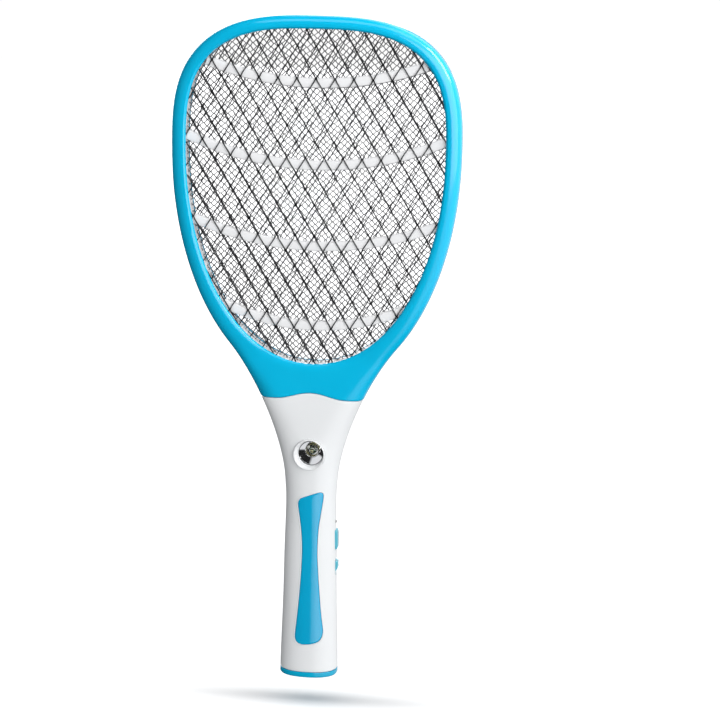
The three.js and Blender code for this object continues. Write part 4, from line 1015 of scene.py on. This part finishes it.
def screw_piece(node):
    """A pan-head screw with a cross recess and a threaded shank, in the space of its CAD node."""
    (x0, y0, z0), (x1, y1, z1) = in_mm(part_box(node))
    x, z = (x0 + x1) / 2, (z0 + z1) / 2
    seat = y1 - HEAD_HEIGHT
    profile = [(0, y1), (0.9, y1 - 0.02), (1.6, y1 - 0.2), (2.05, y1 - 0.55), (2.28, y1 - 1.0),
               (2.3, seat + 0.15), (2.2, seat), (1.0, seat)]
    for k in range(int((seat - y0 - 1.2) / PITCH)):
        at = seat - 0.3 - PITCH * k
        profile += [(0.92, at), (1.2, at - 0.22)]
    profile += [(0.85, y0 + 0.7), (0.3, y0 + 0.05), (0, y0)]
    mesh = raw_mesh(node + "_body", *lathe(profile, (x, 0, z), "Y", 28, closed=False))
    turn = math.radians(random.uniform(0, 90))
    cuts = []
    for a in (turn, turn + math.pi / 2):
        c, s = math.cos(a), math.sin(a)
        cuts.append(prism([(x + u * c - v * s, z + u * s + v * c) for u, v in CROSS], y1 - 0.95, y1 + 1))
    dress(node + "_detailed", boolean(mesh, cuts), SCREW, BODY, [node], 30)


for k in range(1, 9):
    screw_piece(f"head_screw_{k}")
for k in range(1, 5):
    screw_piece(f"handle_screw_{k}")
screw_piece("neck_screw")

# ------------------------ carried-over pieces

# Nodes inside the handle keep their CAD shape and take a material.
CARRIED = {
    "plug_carriage": BLACK, "plug_contact_left": CONTACT, "plug_contact_right": CONTACT,
    "torch_led_board": BOARD, "zap_switch_body": BLACK, "zap_switch_plunger": BLACK,
    "slide_switch_body": BLACK, "slide_switch_lever": BLACK, "main_board": BOARD,
    "step_up_transformer": FERRITE, "storage_capacitor": FILM, "dropper_capacitor": FILM,
    "power_transistor": BLACK, "battery_cell": WRAP, "outer_grid_lead": RED,
    "centre_grid_lead": LEAD_BLACK, "outer_grid_contact": CONTACT, "centre_grid_contact": CONTACT}
for node, finish in CARRIED.items():
    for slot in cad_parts[node].material_slots:
        slot.material = finish

# ------------------------ floor and world

FLOOR_Z = -0.025                         # the swatter hangs just above its shadow, as in the photograph
FLOOR_GLOW_NEAR, FLOOR_GLOW_FAR = 0.12, 1.0
# (direction's X, strength) stops of the world as surfaces feel it and as gloss shows it.
WORLD_SOFT, WORLD_GLOSS = ((-1.0, 0.29), (1.0, 0.58)), ((0.06, 0.02), (0.2, 0.9))
WORLD_LOW = (-0.7, -0.45)                # between these heights the glossy world fades to black below

floor_mesh = bpy.data.meshes.new("floor")
corners = ((-6, -6), (6, -6), (6, 6), (-6, 6))
floor_mesh.from_pydata([(x, y, FLOOR_Z) for x, y in corners], [], [(0, 1, 2, 3)])
floor = add_object("floor", floor_mesh)
floor_material, nodes, links, shader = material("pale_floor")
ramp(nodes, links, noise(nodes, links, 3.0), [(0.2, (0.93, 0.93, 0.935)), (0.8, (0.95, 0.95, 0.95))],
     shader.inputs["Base Color"])
shader.inputs["Roughness"].default_value = 0.9
shader.inputs["Specular IOR Level"].default_value = 0.1
# A glow that grows away from the object keeps the far floor white.
where, spread = nodes.new("ShaderNodeTexCoord"), nodes.new("ShaderNodeMapping")
spread.inputs["Scale"].default_value = (0.4, 0.4, 0.4)
glow = nodes.new("ShaderNodeTexGradient")
glow.gradient_type = "SPHERICAL"
links.new(where.outputs["Object"], spread.inputs["Vector"])
links.new(spread.outputs["Vector"], glow.inputs["Vector"])
shader.inputs["Emission Color"].default_value = (1, 1, 1, 1)
map_range(nodes, links, glow.outputs["Fac"], FLOOR_GLOW_FAR, FLOOR_GLOW_NEAR,
          shader.inputs["Emission Strength"])
floor.data.materials.append(floor_material)
floor.visible_diffuse = floor.visible_glossy = False

world = bpy.context.scene.world or bpy.data.worlds.new("studio")
bpy.context.scene.world = world
world.use_nodes = True
nodes, links = world.node_tree.nodes, world.node_tree.links
nodes.clear()
surface, ray = nodes.new("ShaderNodeOutputWorld"), nodes.new("ShaderNodeLightPath")
sky, direction = nodes.new("ShaderNodeTexCoord"), nodes.new("ShaderNodeSeparateXYZ")
links.new(sky.outputs["Generated"], direction.inputs["Vector"])


def sweep(stops, dark_below=False):
    """A background whose strength changes from left to right."""
    ground, across = nodes.new("ShaderNodeBackground"), nodes.new("ShaderNodeMath")
    across.operation = "MULTIPLY_ADD"
    across.inputs[1].default_value = across.inputs[2].default_value = 0.5
    links.new(direction.outputs["X"], across.inputs[0])
    tints = [((x + 1) / 2, (0.97 * level, 0.985 * level, level)) for x, level in stops]
    ramp(nodes, links, across.outputs[0], tints, ground.inputs["Color"])
    if dark_below:
        map_range(nodes, links, direction.outputs["Z"], 0.0, 1.0, ground.inputs["Strength"], WORLD_LOW)
    return ground


def either(kind, no, yes):
    """Shader yes for rays of that kind, no for all others."""
    choice = nodes.new("ShaderNodeMixShader")
    links.new(ray.outputs[kind], choice.inputs["Fac"])
    links.new(no.outputs[0], choice.inputs[1])
    links.new(yes.outputs[0], choice.inputs[2])
    return choice


seen = nodes.new("ShaderNodeBackground")
seen.inputs["Color"].default_value, seen.inputs["Strength"].default_value = (1, 1, 1, 1), 1.02
felt = either("Is Glossy Ray", sweep(WORLD_SOFT), sweep(WORLD_GLOSS, dark_below=True))
links.new(either("Is Camera Ray", felt, seen).outputs[0], surface.inputs["Surface"])

# ------------------------ lamps

KEY_WATTS, RIM_WATTS, BOWL_WATTS, INLAY_WATTS, FLOOR_STRIP_WATTS = 43.5, 15.0, 4.0, 3.2, 30.0
SHADOW_X, SHADOW_Y, GOBO_Z, STRIP_Z = 0.0, 0.006, 0.625, 2.175


def group(name, members, exclude=False):
    """A light-linking collection of the members, or of everything but them."""
    made = bpy.data.collections.new(name)
    for member in members:
        made.objects.link(member)
    for entry in made.collection_objects if exclude else ():
        entry.light_linking.link_state = "EXCLUDE"
    return made


def aim(obj, place, target):
    """Stands an object at place with its -Z towards target."""
    obj.location = place
    obj.rotation_euler = (Vector(target) - Vector(place)).to_track_quat("-Z", "Y").to_euler()


def area(name, place, target, size, power, receivers):
    data = bpy.data.lights.new(name, "AREA")
    data.shape, data.size, data.size_y, data.energy = "RECTANGLE", size[0], size[1], power
    lamp = add_object(name, data)
    aim(lamp, place, target)
    lamp.light_linking.receiver_collection = receivers
    lamp.visible_camera = False
    return lamp


def card(name, points):
    """A flat stage card that the camera never sees."""
    mesh = bpy.data.meshes.new(name)
    mesh.from_pydata([(x, y, 0) for x, y in points], [], [tuple(range(len(points)))])
    obj = add_object(name, mesh)
    obj.data.materials.append(BLACK)
    obj.visible_camera = obj.visible_diffuse = obj.visible_transmission = False
    return obj


# Lamps light the object but not the floor, which has a strip light of its own for its soft shadow.
bowl, inlay_panel = bpy.data.objects["torch_reflector_bowl"], bpy.data.objects["grip_inlay_panel"]
not_floor, not_bowl = group("not_floor", [floor], True), group("not_floor_or_bowl", [floor, bowl], True)
area("key_softbox", (1.4, -1.76, 0.62), (0, 0, 0.28), (2.9, 1.9), KEY_WATTS, not_bowl)
area("top_front", (0.15, -0.75, 1.7), (0, 0, 0.35), (1.4, 0.7), 5, not_floor)
area("top_back", (0.3, 0.9, 1.5), (0, 0, 0.25), (1.2, 0.8), 4, not_floor)
area("back_softbox", (-0.9, 2.0, 0.8), (0, 0, 0.25), (2.2, 1.6), 34, not_floor)

# A lamp of its own for the head's rim, bright along its right side, and one for the torch bowl.
rim_only = group("rim_only", [bpy.data.objects[shell] for shell in ("head_front_shell", "head_rear_shell")])
area("rim_light", (1.0, -0.32, 1.15), (0.1, 0, 0.4), (0.7, 0.7), RIM_WATTS, rim_only)
bowl_only = group("bowl_only", [bowl])
area("bowl_light", (-0.6, -0.9, 0.62), (0, 0, TORCH_Z * MM), (0.7, 0.6), BOWL_WATTS, bowl_only)

# Seen only as a gloss on the right half of the grip inlay.
inlay_only = group("inlay_only", [inlay_panel])
inlay_strip = area("inlay_strip", (0.62, -1.28, -0.4), (0, 0, 0.09), (1.4, 0.7), INLAY_WATTS, inlay_only)
inlay_strip.visible_diffuse = False

# The floor's shadow: a strip light above a small card. The card blocks the strip only, and is all that does.
turns = [math.radians(9 * k) for k in range(40)]
gobo = card("shadow_gobo", [(0.046 * math.cos(a), 0.0089 * math.sin(a)) for a in turns])
gobo.location = (SHADOW_X, SHADOW_Y, GOBO_Z)
gobo.visible_glossy = False
strip = area("floor_strip", (SHADOW_X, SHADOW_Y, STRIP_Z), (SHADOW_X, SHADOW_Y - 1e-4, 0), (0.31, 0.041),
             FLOOR_STRIP_WATTS, group("floor_only", [floor]))
not_gobo = group("not_gobo", [gobo], True)
for lamp in [o for o in bpy.context.scene.objects if o.type == "LIGHT"]:
    lamp.light_linking.blocker_collection = not_gobo
strip.light_linking.blocker_collection = group("gobo_only", [gobo])
inlay_strip.light_linking.blocker_collection = inlay_only

# A dark card in front on the left, for gloss only.
dark = card("dark_card_left", [(-0.25, -0.35), (0.25, -0.35), (0.25, 0.35), (-0.25, 0.35)])
aim(dark, (-0.55, -0.8, 0.35), (0, 0, 0.2))
dark.visible_shadow = False

# ------------------------ camera

FOCAL_PX, FRAME_PX = 1969.8, 720.0
eye = Vector((0.1990, -1.4161, 0.577))
forward = (Vector((0, 0, 0.250)) - eye).normalized()
right = forward.cross(Vector((0, 0, 1))).normalized()
up = right.cross(forward)
roll, off_right, off_down = math.radians(0.8), 46.7, 4.85     # the object stands off the frame's centre
right, up = right * math.cos(roll) + up * math.sin(roll), up * math.cos(roll) - right * math.sin(roll)
forward = (forward + right * (off_right / FOCAL_PX) - up * (off_down / FOCAL_PX)).normalized()
right = (right - forward * right.dot(forward)).normalized()
up = right.cross(forward)
camera_data = bpy.data.cameras.new("camera")
camera_data.sensor_width, camera_data.lens = 36.0, 36.0 * FOCAL_PX / FRAME_PX
camera = add_object("camera", camera_data)
camera.matrix_world = Matrix((
    (right.x, up.x, -forward.x, eye.x), (right.y, up.y, -forward.y, eye.y),
    (right.z, up.z, -forward.z, eye.z), (0, 0, 0, 1)))
bpy.context.scene.camera = camera
bpy.context.scene.view_settings.view_transform = "Standard"
